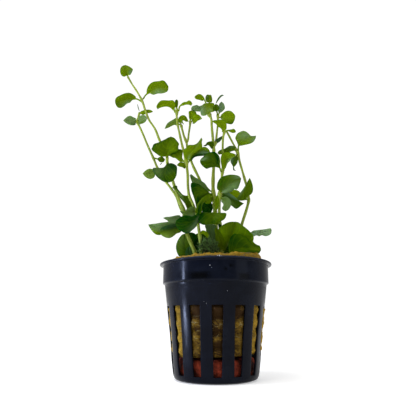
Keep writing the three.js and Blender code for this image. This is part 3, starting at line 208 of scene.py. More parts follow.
# The groove along the rib: its depth and half width
GROOVE_DEPTH = 0.13
GROOVE_REACH = 0.4
# Share of the thickness that is lost at the edge, and how far the left edge's wave runs before the right's
EDGE_THINNING = 0.6
WAVE_SHIFT = 2.1
# What the tone gains at the stalk and loses along the edge, and what the pale share gains underneath for the
# blade's own paler underside
STALK_PALE = 0.25
EDGE_DARK = 0.14
UNDER_PALLOR = 0.1
# How far the tone of leaves with the same setting may differ
TONE_SPREAD = 0.02

# The mossy clump's middle, half sizes and leaflets
MOSS_PLACE = np.array([-3.6, -9.0, 58.9])
MOSS_REACH = np.array([3.8, 2.5, 3.8])
MOSS_COUNT = 1500
# A direction that few strands follow, from which the rings of every strand are turned
LEAN = np.array([0.31, 0.52, 0.8])
# Dry wisps: their radius and the points they pass through
WISPS = [
    (0.25, [(-41.9, 139.2, -6), (-41.4, 137, -6), (-40.7, 135, -6)]),
    (0.5, [(0.6, 139.6, -3), (1.6, 141.7, -3), (2.8, 143.5, -3), (4, 144.5, -3), (4.8, 144.3, -3)]),
    (0.38, [(9.4, 103.4, -2), (9.6, 102.4, -2), (9.7, 101.5, -2.3), (10.6, 101, -2.4)]),
    (0.22, [(-28.7, 104.1, -4), (-28.2, 104.7, -4.4), (-27.6, 105.3, -4.6)]),
]

# Seeds of the random draws. Each leaf, bud and foot leaf counts on from its own.
FIBRE_SEED = 21
FIBRE_WAVE_SEED = 23
CLAY_SEEDS = (31, 32)
STEM_SEEDS = (41, 42)
MOSS_SEED = 51
MOSS_CORE_SEED = 52
LEAF_SEED = 0
BUD_SEED = 100
FOOT_SEED = 200

# Stage, in metres
# Lights: the setting that holds the power, width and height, place, target and colour
LIGHTS = {
    "key_light": ("key_power", (0.5, 0.5), (-0.3, -0.25, 0.8), (-0.01, 0, 0.07), "#fffdf6"),
    "strip_light": ("strip_power", (0.035, 0.22), (-0.66, -0.22, 0.16), (0, 0, 0.04), "#c4d4ff"),
    "low_light": ("low_power", (0.009, 0.014), (-0.112, -0.038, 0.008), (0, 0, 0.02), "#c4d4ff"),
    "window": ("window_power", (0.35, 0.5), (0.6, -0.42, 0.3), (-0.01, 0, 0.07), "#dfe8ff"),
}
# Share of the surroundings' light that comes from the front
SKY_FRONT = 0.2
FLOOR_HALF = 3.0
# The camera's sensor in millimetres, and the nearest and farthest distance that it sees
SENSOR_WIDTH = 36
CLIP = (0.01, 20)
# Distances from the pot between which the floor's glow grows
GLOW_START = 0.06
GLOW_END = 0.9


@dataclass
class Stem:
    """A round stem: its radius at the root and at the tip, and the points it passes through."""

    root: float
    tip: float
    path: list


@dataclass
class Leaf:
    """A leaf on its stalk. The rib follows the path from the stem to the tip.

    The blade's left and right edges run from the rib, where the stalk ends, through their own points as
    seen to the tip. Stalk is the stalk's share of the path. Fold brings both halves forward, in
    degrees. Tone goes from 0, deep green, to 1, yellow-green: the leaf's age, and painted shade where a
    leaf in a shaded gap is given a tone near or below 0. Sheen_and_pallor is a pale colour's share, mostly
    painted sheen: a painted reflection of the bright surroundings. Dome and wave are how far the halves
    bulge and their edges swing, over the half width, and ripples is how often. Each mark is a soft patch:
    where along, where across (-1 left edge, 1 right edge), its reach, and what it adds to the tone and to
    the pale share. Most paint shade or light on the blade, and a few give the blade's own tone.
    """

    path: list
    left: list
    right: list
    stalk: float = 0.1
    fold: float = 10
    tone: float = 0.5
    bloom: float = 0.0
    dome: float = 0.08
    wave: float = 0.05
    ripples: float = 2.0
    light_and_tone_marks: list = field(default_factory=list)


STEMS = {
    "a": Stem(0.85, 0.45, [
        (-8.6, 51, -6), (-10, 57.7, -6), (-12, 62.5, -6), (-14.3, 68, -6), (-15.6, 74, -6), (-15.8, 79, -6),
        (-17.4, 83, -6), (-18.7, 86, -6), (-20.6, 91.5, -6), (-21.7, 95, -6), (-23.4, 100, -5),
        (-24.9, 105.5, -5), (-25.2, 109, -5), (-27.2, 114, -4), (-29.3, 118, -4.6), (-31.9, 124.5, -5),
        (-35.4, 130, -5.4), (-37.7, 136, -5.2), (-39.3, 140.7, -5), (-42, 146, -4), (-45.3, 151.2, -4),
        (-47.9, 155.8, -4),
    ]),
    "b": Stem(0.6, 0.45, [
        (-17.2, 80, -3.6), (-18.4, 83, -3.4), (-19.9, 87, -3.4), (-22.8, 91.5, -3), (-26.6, 96.5, -3),
        (-30, 102.6, -3), (-32.3, 108, -3), (-35.4, 114.8, -3), (-38, 121, -3), (-40.2, 125.8, -3),
        (-41.6, 128.6, -3), (-41.1, 131.6, -3), (-40.6, 134, -3),
    ]),
    "c": Stem(0.75, 0.5, [
        (-6.7, 51, -9), (-7, 57.5, -9), (-7.6, 65, -9), (-8.6, 72, -8), (-10, 79, -7), (-11.4, 83, -7),
        (-13.3, 87.3, -7), (-14, 93, -7), (-14.2, 99, -7), (-15, 104.8, -7), (-15.9, 109.5, -7),
        (-17.4, 115.5, -6), (-18.8, 121.8, -6), (-20, 127.5, -6), (-20.5, 132, -6), (-20.6, 136.6, -6),
    ]),
    "d": Stem(0.8, 0.5, [
        (-4.5, 51, 3), (-4.3, 58, 3), (-4, 68, 3), (-4, 79, 2), (-5, 88, 2), (-8.2, 96.5, 1), (-11, 102.5, 1),
        (-12.9, 107.4, 0), (-14.4, 112, 0), (-14.9, 116, 0), (-15.5, 118, 0), (-16.6, 121, 0),
        (-18, 126.5, 0),
    ]),
    "d_fork": Stem(0.5, 0.45, [
        (-14.2, 118.4, 0.6), (-13.9, 122, 0.6), (-13.4, 126, 0.6), (-13.1, 129, 0.6),
    ]),
    "e": Stem(1, 0.55, [
        (0.9, 51, -2), (0.8, 58, -2), (0.3, 70, -2), (-0.1, 79, -2), (-0.7, 86, -2), (-1.1, 92, -2),
        (-1, 98, -2), (-0.7, 104, -2), (-0.6, 110, -2), (-0.8, 115, -2), (-1.2, 120, -2), (-1.7, 126, -2),
        (-1.9, 130, -2), (-3, 133, -2),
    ]),
    "e_fork": Stem(0.55, 0.45, [
        (0.4, 116.2, -1), (0.7, 119, -1), (1.2, 124, -1), (1.6, 128, -1), (1.6, 133, -1),
    ]),
    "g": Stem(0.75, 0.5, [
        (3.5, 51, -5), (3.3, 58, -5), (2.6, 68, -5), (2, 79, -5), (2.3, 88, -5), (3, 94, -5), (3.7, 99.6, -4),
        (4, 105, -3), (4, 111, -3), (4.1, 116, -3), (4.4, 120, -3), (5.2, 123.4, -3),
    ]),
    "h": Stem(0.8, 0.45, [
        (8, 51, 7), (9.5, 58, 7), (11.5, 66, 6), (13.5, 73.3, 4), (15.4, 79, 3), (16.8, 84, 2), (16.9, 87, 2),
        (16.2, 92, 1), (14.8, 98, 1), (12.8, 106, 1), (11.7, 111.5, 1), (9.6, 116, 1), (7.6, 120.2, 0),
        (6.3, 122.9, -1),
    ]),
}
BUDS = [
    ("b", Leaf(
        [(-32.2, 108, -3), (-29.8, 107.4, -3.4), (-28, 106.9, -3.4), (-26, 107.1, -3)],
        [(-29.3, 108.2), (-27.8, 108.5), (-26.8, 108)],
        [(-29.6, 106.9), (-28.6, 105.9), (-27, 105.8)],
        stalk=0.3, tone=0.3)),
    ("b", Leaf(
        [(-40.6, 133.6, -3), (-38.5, 134.6, -4), (-33.3, 134.7, -5)],
        [(-39.4, 134.8), (-37.4, 135.6), (-35.4, 135.8), (-34.1, 135.4)],
        [(-38.8, 133.1), (-36.6, 133.8), (-35, 134), (-34, 134.3)],
        stalk=0.08, tone=0.72)),
    ("c", Leaf(
        [(-20.6, 134, -6), (-20.8, 138, -6), (-20.8, 142.1, -6)],
        [(-21.3, 138.6), (-21.6, 140.2), (-21.4, 141.5)],
        [(-20.2, 138.6), (-20, 140.2), (-20.1, 141.5)],
        stalk=0.35, fold=30, tone=0.3)),
    ("c", Leaf(
        [(-7.6, 66, -9), (-7, 68.3, -9), (-5, 67.8, -9.6), (-3.2, 64.8, -10)],
        [(-6.6, 69), (-5, 68.8), (-3.6, 67.6), (-3, 66)],
        [(-6, 67.6), (-5, 66.9), (-4.2, 65.8)],
        stalk=0.2, tone=0.62)),
    ("c", Leaf(
        [(-15, 104.2, -7), (-17.3, 104.1, -8), (-20, 104, -9)],
        [(-15.7, 102.4), (-17.1, 103), (-18.6, 103.3)],
        [(-16.4, 105.1), (-17.9, 105.6), (-19.2, 104.9)],
        stalk=0.05, tone=0.5, light_and_tone_marks=[(0.3, -1, 0.3, -0.3, 0)])),
    # A near-black leaf behind the feet of stems a and c, standing in for the deep shade there: painted shade
    ("c", Leaf(
        [(-7.1, 58.4, -9), (-7.8, 58, -5), (-9.2, 60, -1.6), (-9.4, 65, -1.4)],
        [(-9.8, 57.4), (-11.6, 59), (-11.8, 62), (-11, 64.6)],
        [(-7.6, 57.8), (-7, 60.6), (-7.8, 64)],
        stalk=0.3, tone=-0.9)),
    ("a", Leaf(
        [(-10, 57.6, -6), (-11.9, 57.6, -5.4), (-13, 59, -5), (-13.1, 61.3, -5)],
        [(-12.4, 56.3), (-14, 56.5), (-14.7, 58), (-14.3, 60)],
        [(-11.6, 58.6), (-11.5, 60), (-12.2, 61.2)],
        stalk=0.2, tone=-0.3, bloom=0.06)),
    ("d", Leaf(
        [(-18, 126.5, 0), (-18.6, 129.8, -1), (-17, 131.2, -1.5), (-14, 128.8, -1)],
        [(-18.9, 128.3), (-19.4, 130.6), (-18.2, 132.1), (-16.8, 132.5), (-15.6, 131.8), (-14.7, 130.3)],
        [(-16.8, 127.2), (-17.4, 129.3), (-16.6, 129.6), (-15.4, 128.8)],
        stalk=0.15, tone=0.6)),
    ("e", Leaf(
        [(-2.8, 132.8, -2), (-3, 139.6, -2), (-3.1, 144.9, -2.5)],
        [(-4.2, 140.6), (-4.9, 142.2), (-4.8, 144), (-4.1, 145)],
        [(-2.1, 140.2), (-1.6, 141.8), (-1.7, 143.4), (-2.1, 144.8)],
        stalk=0.55, tone=0.45, light_and_tone_marks=[(0.6, -0.8, 0.3, -0.3, 0.1)])),
    ("e", Leaf(
        [(-0.7, 112.5, -2), (-1.4, 115.6, -3), (-3.4, 116.2, -3.5), (-6.4, 114.8, -3.5)],
        [(-1.7, 113.3), (-2.5, 114.5), (-3.7, 115.4), (-4.9, 114.7)],
        [(-0.8, 115.8), (-1.4, 117.2), (-2.6, 117.2), (-4.1, 116.8), (-5, 115.6)],
        stalk=0.1, tone=0.2)),
    # A near-black leaf in the hollow behind the middle leaves, standing in for the deep shade there: painted
    # shade
    ("e", Leaf(
        [(-0.4, 82.4, -2), (-2.4, 81.6, -1), (-4.6, 81, 0), (-6.9, 80.6, 0.6)],
        [(-2.2, 78.8), (-4.4, 78.4), (-6.4, 78.6)],
        [(-2.4, 83.8), (-4.4, 84.2), (-6.4, 84)],
        stalk=0.1, tone=-0.8)),
    ("e", Leaf(
        [(-0.6, 86.4, -2), (-1.8, 86.6, -3), (-3.4, 85.6, -3.4), (-5.4, 83.8, -3.4)],
        [(-1.6, 84.6), (-2.8, 83.5), (-4.6, 83.2)],
        [(-2.6, 88), (-4.4, 86.6), (-6, 84.8)],
        stalk=0.1, tone=0.5)),
    ("e_fork", Leaf(
        [(0.4, 116.2, -1), (1.8, 118, -1.6), (4.5, 120.8, -1.2)],
        [(0.2, 117.8), (1.4, 118.8), (3, 120)],
        [(1.4, 116.8), (2.5, 117.5), (3.9, 119.3)],
        stalk=0.05, tone=0.05, bloom=0.1)),
    ("e_fork", Leaf(
        [(1.6, 132.4, -1), (0.7, 136.6, -6), (0.6, 139.4, -6.4)],
        [(-0.4, 135.2), (-0.8, 136.8), (-0.5, 138.4)],
        [(1.7, 135.4), (2.1, 137), (1.7, 138.6)],
        stalk=0.3, tone=0.22)),
    ("g", Leaf(
        [(5.1, 123.2, -3), (7.6, 123.7, -3.5), (11.2, 122.7, -4)],
        [(8.6, 124), (9.9, 124.5), (10.8, 123.8)],
        [(8.7, 122.7), (9.9, 122.3)],
        stalk=0.38, tone=0.6)),
    ("g", Leaf(
        [(2.2, 88, -5), (1.2, 87.6, -5.4), (0.7, 84.6, -5.6), (0.6, 79.6, -6)],
        [(1.8, 86), (1.5, 82.6), (1.1, 80.4)],
        [(0.2, 86), (-0.1, 82.6), (0.1, 80.4)],
        stalk=0.15, tone=0.55)),
    ("g", Leaf(
        [(2.3, 73, -5), (2, 72.4, -6.4), (2.9, 71.2, -7), (4, 70.2, -7)],
        [(2.5, 72.3), (3.5, 71.2)],
        [(1.7, 71.8), (3, 70.3)],
        stalk=0.1, tone=-0.5)),
]
LEAVES = {
    "a_crown": Leaf(
        [(-48.1, 156.4, -4), (-49, 159.8, -4.8), (-49.6, 163.4, -4)],
        [(-49.6, 156.1), (-51, 156.6), (-52, 158.3), (-52.3, 160.2), (-52, 161.9), (-51, 163)],
        [(-46.9, 157.2), (-46, 159), (-45.6, 160.6), (-46.7, 161.8), (-48.1, 162.8)],
        stalk=0.05, tone=0.6, light_and_tone_marks=[(0.3, 0.7, 0.16, -0.3, 0.3)]),
    "a_right": Leaf(
        [(-39, 142.3, -4), (-37, 145.4, -4), (-31.4, 149.2, -5), (-25.3, 148.9, -5)],
        [(-37, 147.6), (-36.3, 150), (-35, 151.7), (-33.4, 152.7), (-30.8, 153.1), (-29, 153.6),
         (-27.6, 153.2), (-26.3, 151.6), (-25.5, 150.2)],
        [(-35.6, 146), (-34.4, 145.3), (-33.2, 145.2), (-31.2, 145.8), (-29.1, 145.8), (-27, 146.3),
         (-25.7, 147.3)],
        stalk=0.33, tone=0.58, light_and_tone_marks=[(0.5, 0.8, 0.25, -0.05, 0.3), (0.95, -1, 0.2, -0.3, 0)]),
    "a_left": Leaf(
        [(-39.5, 140.5, -4.6), (-42.9, 142.4, -4), (-48.5, 142.2, -5), (-54.1, 139.8, -6)],
        [(-44.8, 142), (-46, 140.4), (-47.6, 139.8), (-49.5, 137.8), (-51, 137), (-52.5, 137.3),
         (-53.4, 138.4)],
        [(-43.3, 143.6), (-45.4, 145.3), (-47.2, 145.8), (-49.2, 145.5), (-51.2, 144.6), (-53.4, 143.3),
         (-54.2, 141.6)],
        stalk=0.33, tone=0.56, light_and_tone_marks=[(0.4, -0.9, 0.22, -0.05, 0.35), (0.95, -0.5, 0.25, -0.3, 0)]),
    "a_face": Leaf(
        [(-25.4, 108.4, -6.2), (-25.4, 112, -6.8), (-24.6, 116, -8.4), (-23.4, 120.2, -9)],
        [(-27.9, 108.7), (-30.5, 110.4), (-33.1, 112.6), (-32.7, 114.2), (-32.1, 115.8), (-29.9, 116.7),
         (-28, 117.7), (-26.3, 118.6), (-24.9, 119.5)],
        [(-23.9, 109.3), (-22.2, 110.4), (-20.5, 111.4), (-19.5, 113), (-19.5, 114.6), (-19.1, 116),
         (-20.2, 117.7), (-21.6, 119.4)],
        stalk=0.04, tone=0.36, wave=0.09, ripples=3, light_and_tone_marks=[(0.45, 0.5, 0.2, 0.16, 0),
         (0.85, -0.9, 0.25, -0.18, 0), (0.2, 0.95, 0.14, -0.3, 0), (0.5, -1, 0.2, -0.15, 0),
         (0.95, 0.3, 0.2, -0.12, 0)]),
    "a_drop": Leaf(
        [(-24.6, 105.2, -6.2), (-25.2, 103, -7.4), (-26, 98.8, -10), (-24.2, 94.4, -11)],
        [(-23.4, 105.3), (-21.4, 104.6), (-20.1, 103.2), (-20, 100.5), (-20.2, 98.2), (-21.2, 96),
         (-22.6, 94.9)],
        [(-26.3, 102.7), (-28.5, 101.9), (-30.4, 102.4), (-31.8, 102.5), (-32.2, 101.3), (-31.2, 99.2),
         (-29.2, 96.9), (-26.6, 95)],
        stalk=0.08, tone=0.08, wave=0.08, light_and_tone_marks=[(0.5, 0.6, 0.22, 0.15, 0.12), (0.2, -0.7, 0.3, -0.1, 0),
         (0.7, -0.8, 0.25, 0.15, 0)]),
    "a_curl": Leaf(
        [(-14.5, 79.4, -5.8), (-13.4, 82.6, -5), (-15.6, 86.6, -6), (-20.8, 93, -8.6)],
        [(-14.4, 81.4), (-15.2, 83.3), (-16.5, 85), (-18, 86.8), (-19.1, 89.4), (-21, 90.9), (-22, 91.8)],
        [(-11.9, 81.8), (-12, 84.5), (-12.9, 87.2), (-15.4, 87.4), (-17, 88.1), (-18.5, 89.2), (-19.5, 91),
         (-19.5, 92.6)],
        stalk=0.12, tone=0.22, light_and_tone_marks=[(0.6, -0.8, 0.2, 0.1, 0.15), (1, 0, 0.15, -0.3, 0)]),
    "b_upper_left": Leaf(
        [(-42, 128.9, -3.4), (-43.7, 129.2, -4), (-46.2, 129.5, -5), (-49.2, 129.5, -6)],
        [(-42.5, 127.3), (-43.9, 126.9), (-45.4, 127), (-46.8, 127.6), (-48.2, 128.5)],
        [(-42.5, 130.4), (-43.8, 131.1), (-45.2, 132), (-46.6, 131.9), (-47.9, 130.9)],
        stalk=0.05, tone=0.5, bloom=0.3, light_and_tone_marks=[(0.2, -0.9, 0.25, -0.4, -0.2)]),
    "b_upper_right": Leaf(
        [(-40.9, 129.2, -4), (-40, 129.8, -4.8), (-38.6, 130.4, -5.4), (-36.4, 130.4, -6)],
        [(-41, 130.8), (-39.8, 132.2), (-38.2, 132.6), (-37, 131.8)],
        [(-41, 127.4), (-39.5, 127.7), (-38.2, 128.1), (-37, 129)],
        stalk=0.03, tone=0.45, bloom=0.28, light_and_tone_marks=[(0.5, 0.9, 0.25, -0.1, -0.25)]),
    "b_low_left": Leaf(
        [(-31.2, 101.4, -3.4), (-32.4, 100, -4), (-34.6, 99.2, -4.6), (-37.6, 99.4, -5)],
        [(-31.4, 98), (-32.9, 96.7), (-34.7, 96.8), (-36.4, 98)],
        [(-32.2, 101.6), (-34.2, 101.8), (-36, 101)],
        stalk=0.06, tone=0.66, bloom=0.12),
    "c_left": Leaf(
        [(-21.6, 134.3, -6), (-22.3, 136.9, -6.2), (-24.2, 139, -7), (-28.4, 139.3, -8), (-30.9, 136, -8)],
        [(-22.2, 135.4), (-22.9, 136.3), (-24.2, 137.4), (-26, 137.9), (-28, 137.6), (-29.8, 136.9)],
        [(-21.7, 137.6), (-21.9, 139.8), (-23, 141.3), (-25, 141.2), (-27.9, 141.4), (-29.4, 141.1),
         (-30.8, 139.6), (-31.6, 137.6)],
        stalk=0.18, tone=0.8, light_and_tone_marks=[(0.95, 0.5, 0.25, -0.35, 0), (0.5, 1, 0.3, -0.1, 0)]),
    "c_right": Leaf(
        [(-19.5, 135.1, -6), (-18.9, 138, -6), (-16.4, 139.6, -7), (-14, 140.1, -8), (-12.1, 139.5, -8)],
        [(-16.9, 140.1), (-15.4, 140.4), (-14.2, 141.3), (-13, 140.9)],
        [(-17.2, 138.7), (-15.6, 139.1), (-14, 138.9), (-12.8, 138.4)],
        stalk=0.3, tone=0.75),
    "d_left": Leaf(
        [(-19.3, 127.4, 0), (-21.2, 128.5, 0), (-24, 127.2, -1), (-26.9, 124.5, -2)],
        [(-20.3, 126.8), (-21.6, 127.2), (-23, 126.5), (-24.6, 125.5), (-25.8, 124.9)],
        [(-20.2, 130.8), (-22.7, 129.6), (-24.7, 128.4), (-25.9, 127)],
        stalk=0.03, tone=0.68, bloom=0.12, light_and_tone_marks=[(0.7, 1, 0.25, -0.15, 0.35), (1, 0, 0.12, -0.6, 0)]),
    "d_fork_up": Leaf(
        [(-13.3, 129.7, 0.6), (-12.8, 132, 1.4), (-12.7, 135.5, 1.6)],
        [(-13.6, 131), (-13.9, 133), (-14, 134.8)],
        [(-11.6, 130.6), (-10.2, 132.8), (-10.2, 134.3), (-11.2, 135.3)],
        stalk=0.04, tone=0.78, light_and_tone_marks=[(0.8, 0.9, 0.3, -0.25, 0)]),
    "d_fork_right": Leaf(
        [(-12.2, 129.2, 0.6), (-10.4, 130.3, -0.6), (-6.8, 130.5, -2)],
        [(-12, 130.9), (-10.8, 133), (-9.4, 133), (-7.9, 132.1)],
        [(-12.2, 128.1), (-11.5, 127.7), (-10.4, 128.3), (-9.2, 129.4), (-7.8, 130)],
        stalk=0.03, tone=0.8, light_and_tone_marks=[(1, 0, 0.15, -0.2, 0.5), (0.15, 0.9, 0.15, -0.2, 0.3)]),
    "e_pale": Leaf(
        [(-3.8, 133.8, -2), (-6.5, 136.2, -1.5), (-9.5, 136.7, -2), (-13, 136.2, -3)],
        [(-5.8, 134.8), (-7.8, 135), (-10, 135), (-12, 135.2)],
        [(-5, 137.6), (-6.9, 138.2), (-8.5, 137.9), (-9.6, 138.6), (-11, 138.3), (-12.3, 137.8)],
        stalk=0.15, tone=0.45, bloom=0.45, light_and_tone_marks=[(0.85, -0.8, 0.2, -0.2, -0.4)]),
    "e_broad": Leaf(
        [(-2.6, 134, -3.6), (-3, 136.6, -4.4), (-3.2, 140, -5)],
        [(-4, 132.9), (-5.4, 132.3), (-7, 132.6), (-7.6, 134.6), (-7.3, 136.6), (-7, 138.2), (-5.5, 139.7)],
        [(-1.4, 134.4), (-0.6, 135), (-0.5, 136.6), (-0.4, 138.4), (-0.6, 139.7), (-1.8, 140)],
        stalk=0.03, tone=0.66, dome=-0.1, light_and_tone_marks=[(0.3, 0.2, 0.2, 0.3, 0.3), (0.45, -1, 0.25, -0.2, 0.6),
         (0.9, 0, 0.25, -0.15, 0)]),
    "e_small": Leaf(
        [(-3.9, 135, -1), (-4.8, 139.6, -1), (-6, 142.2, -1), (-8.3, 143.6, -1.4), (-11.1, 143.2, -2)],
        [(-6.4, 141.4), (-7.6, 141.7), (-8.8, 142), (-10.3, 142.3)],
        [(-6.2, 143.3), (-6.9, 144.3), (-7.8, 145), (-8.8, 145.2), (-9.9, 144.7), (-10.8, 144)],
        stalk=0.46, tone=0.78, light_and_tone_marks=[(0.9, 0.5, 0.3, -0.2, 0)]),
    "f_upright": Leaf(
        [(2.3, 133.6, -1), (2.9, 137, -1), (3.6, 140.8, -1)],
        [(2, 135.2), (2.1, 137.5), (2.6, 139.6)],
        [(3.2, 134.4), (4.3, 135.4), (5.2, 136.6), (5.2, 138), (4.7, 139.7)],
        stalk=0.08, fold=25, tone=0.35, bloom=0.35, light_and_tone_marks=[(0.5, 0, 0.2, -0.2, 0.15)]),
    "f_right": Leaf(
        [(2.5, 131.2, -1), (4.2, 131.4, -1.4), (7.6, 131.4, -3), (10.9, 130.8, -4)],
        [(3.5, 132.6), (4.7, 133.8), (5.8, 134.7), (7.2, 135.1), (8.7, 134.9), (10.1, 133.6), (10.9, 132.3)],
        [(3.9, 129.6), (5.2, 128.3), (6.8, 127.8), (8.5, 127.4), (9.5, 127.8), (10.4, 129.3)],
        stalk=0.1, tone=0.66, light_and_tone_marks=[(0.7, 1, 0.25, -0.4, 0), (0.05, 0.3, 0.15, -0.1, 0.35)]),
    "g_wing": Leaf(
        [(4, 122.8, -3.2), (4.4, 126, -4), (2.4, 128.4, -4.6), (-1.7, 128.9, -5)],
        [(3.7, 124.4), (2.8, 125.4), (1.6, 126), (0.9, 127.2), (0, 127.9)],
        [(5.7, 124.4), (6, 126.6), (5.7, 128.1), (4.5, 129), (3, 129.9), (1.2, 129.7), (-0.5, 129.6)],
        stalk=0.08, tone=0.7, light_and_tone_marks=[(1, 0, 0.25, -0.25, 0)]),
    "h_right": Leaf(
        [(12.2, 112, 0.2), (12.6, 115.2, 0), (15.6, 118.4, -1), (21.9, 120.7, -2)],
        [(11.8, 117), (11, 118.9), (11.8, 121.3), (13.5, 122.7), (15.5, 123.3), (17.5, 122.2), (19, 120.6),
         (20.6, 120.5)],
        [(14, 115.2), (16.7, 115.8), (18.6, 116.3), (20.2, 117.2), (21.4, 118.9)],
        stalk=0.31, tone=0.6, dome=0.16, light_and_tone_marks=[(0.6, -0.5, 0.25, -0.15, 0.35), (1, 0, 0.15, -0.4, 0.3),
         (0.8, 0.8, 0.2, -0.2, 0.3)]),
    "h_arch": Leaf(
        [(10.7, 112.2, 0), (8.8, 113.2, 0), (5.6, 112.1, 0.6), (1.2, 110.7, 1.4)],
        [(10, 112.3), (8.6, 111.9), (7.1, 111.2), (4.8, 110.8), (2.9, 110.1), (2, 110)],
        [(10.6, 113.6), (9.2, 114.6), (7.5, 114.5), (6.1, 113.7), (4.9, 113), (3.3, 112.7), (1.9, 111.9)],
        stalk=0.06, tone=0.3, light_and_tone_marks=[(0.35, 0.7, 0.25, -0.1, 0.1), (0.9, 0, 0.25, 0.2, 0)]),
    "h_hanging": Leaf(
        [(11.5, 110, 0.4), (10.6, 107.4, -1), (9.8, 104.8, -2), (9.4, 102.6, -2)],
        [(11.7, 108.2), (11.6, 106.2), (11, 104.5), (10.1, 103.3)],
        [(10, 108.4), (8.6, 107), (8.2, 105.8), (8.8, 104.3), (9.3, 103.2)],
        stalk=0.1, tone=0.21, light_and_tone_marks=[(0.5, 0.9, 0.25, -0.2, 0.3)]),
    "h_upturned": Leaf(
        [(16.4, 85.4, 1), (14.4, 86.2, 0), (15.6, 91, -2), (17.8, 97.1, -2)],
        [(13.2, 85.1), (11.6, 85.3), (10.3, 86.1), (11.6, 87.7), (12.9, 89), (14.2, 90.7), (15.4, 92.7),
         (16.5, 94.8)],
        [(16.6, 86.6), (17.7, 87.7), (18.9, 89.5), (19.2, 91.2), (19.1, 93.2), (18.5, 95.6)],
        stalk=0.08, tone=0.32, light_and_tone_marks=[(0.55, -1, 0.2, 0.1, 0.5), (1, 0, 0.1, -0.3, 0)]),
    "c_behind": Leaf(
        [(-16.3, 105.9, -6.2), (-18.2, 107.8, -5.6), (-20.8, 109.3, -5), (-24, 109.2, -4)],
        [(-18, 106.1), (-19.3, 107), (-20.7, 108), (-22.2, 108.3)],
        [(-17.4, 108), (-17.1, 110.4), (-17.4, 112.3), (-19.2, 112.8), (-21.4, 112), (-23.4, 110.8)],
        stalk=0.04, tone=0.5, light_and_tone_marks=[(0.7, 0.8, 0.25, -0.5, 0), (0.4, -1, 0.3, 0.3, 0)]),
    "c_rising": Leaf(
        [(-14.6, 106.2, -8), (-13.6, 110, -9), (-10.8, 113.4, -9.6), (-7.2, 119.7, -9)],
        [(-15.7, 108.3), (-16.3, 110.8), (-16, 112.7), (-14.9, 113.6), (-14.2, 114.9), (-13.3, 115.3),
         (-11.1, 115.4), (-9.4, 116.3), (-8.3, 117.8)],
        [(-13.2, 107.8), (-12.3, 109.8), (-10.6, 111.2), (-9, 112.4), (-7.2, 113.7), (-6.8, 115), (-7, 117),
         (-6.7, 118.5)],
        stalk=0.05, tone=0.62, light_and_tone_marks=[(0.95, 0, 0.2, -0.3, 0.2), (0.05, 0.3, 0.2, 0.1, 0.25)]),
    "c_arching": Leaf(
        [(-14, 105.4, -6.6), (-12, 109, -5.4), (-8, 111.4, -5), (-2.5, 111.3, -6)],
        [(-12.8, 109.2), (-11.4, 111), (-9.2, 112.5), (-7.2, 113.7), (-5.8, 114.2), (-4.4, 113.8),
         (-3.2, 112.7)],
        [(-12.6, 106.6), (-11.3, 108.3), (-9.8, 109), (-8.1, 109.2), (-6.4, 109.3), (-5, 109.5),
         (-3.6, 110.2)],
        stalk=0.12, tone=0.4, light_and_tone_marks=[(0.4, 1, 0.3, -1.2, 0), (0.8, 0.2, 0.2, -0.3, 0.3),
         (0.8, -1, 0.2, 0.3, 0)]),
    # On g_left, the four small dark patches in a row across the blade paint the shade of stem g behind it
    "g_left": Leaf(
        [(3, 100.6, -5), (2, 103.2, -6), (-1.8, 106.2, -8), (-8, 106.3, -9)],
        [(0.6, 103.2), (-1.6, 103), (-3, 102.6), (-4.5, 102.2), (-6.4, 103.5), (-7.5, 104.9)],
        [(2.4, 104.4), (2.4, 107), (1.7, 109.3), (0, 111.1), (-1.8, 111.2), (-4.8, 110.2), (-6.4, 108.4),
         (-7.4, 107.5)],
        stalk=0.25, tone=0.18, light_and_tone_marks=[(0.47, 1, 0.08, -0.4, 0), (0.4, 0.75, 0.08, -0.4, 0),
         (0.32, 0.5, 0.08, -0.4, 0), (0.24, 0.25, 0.08, -0.4, 0), (0.05, 0.6, 0.2, 0.3, 0),
         (0.9, 0.4, 0.15, 0.1, 0.45)]),
    "g_right": Leaf(
        [(4.5, 101, -4.6), (4.7, 104, -5.4), (6.2, 108, -6), (11.1, 109.9, -7)],
        [(3.7, 103.5), (3.2, 106), (3.3, 108.8), (4.5, 110.7), (7.1, 111.1), (9.1, 110.7)],
        [(5.3, 102.8), (6.2, 105), (7.6, 106.4), (9, 107.9), (10.3, 108.9)],
        stalk=0.06, tone=0.58, light_and_tone_marks=[(0.6, 1, 0.2, -0.1, 0.35), (0.5, 0.3, 0.15, -0.3, 0)]),
    "e_upper_left": Leaf(
        [(-2.2, 89.8, -2.4), (-5, 91.2, -3), (-9.4, 94, -5), (-13.2, 98.4, -6)],
        [(-5.2, 90.1), (-7.5, 91.2), (-9.9, 92.7), (-11.6, 94.4), (-12.4, 96), (-12.9, 97.6)],
        [(-4.2, 91.9), (-5.4, 93.8), (-8, 95.7), (-10.5, 97.4), (-12.4, 99)],
        stalk=0.04, tone=0.34, bloom=0.12, light_and_tone_marks=[(0.4, -0.8, 0.3, 0, 0.3), (0.95, 0, 0.2, -0.3, 0),
         (0.5, 1, 0.3, -0.2, 0)]),
    "e_lower_left": Leaf(
        [(-2.4, 88.4, -3.7), (-5.6, 89.4, -5), (-9.4, 87.4, -8.6), (-9.3, 80.4, -10)],
        [(-3.9, 88.1), (-5.7, 86.6), (-7.8, 84.9), (-8.8, 83.4), (-9, 81.7)],
        [(-5.2, 90.6), (-8.3, 93.2), (-11.6, 94.3), (-12.5, 93.2), (-12, 89.8), (-11.2, 87.6), (-10.2, 84.1),
         (-9.8, 81.9)],
        stalk=0.04, tone=0.15, light_and_tone_marks=[(0.25, 0, 0.2, 0.15, 0), (0.5, 1, 0.2, -0.25, 0),
         (0.8, -0.6, 0.15, -1, 0)]),
    "e_arc": Leaf(
        [(-1.9, 87, -3.9), (-4.6, 86.2, -7.4), (-7.2, 83.4, -10.6), (-8.4, 77.7, -12)],
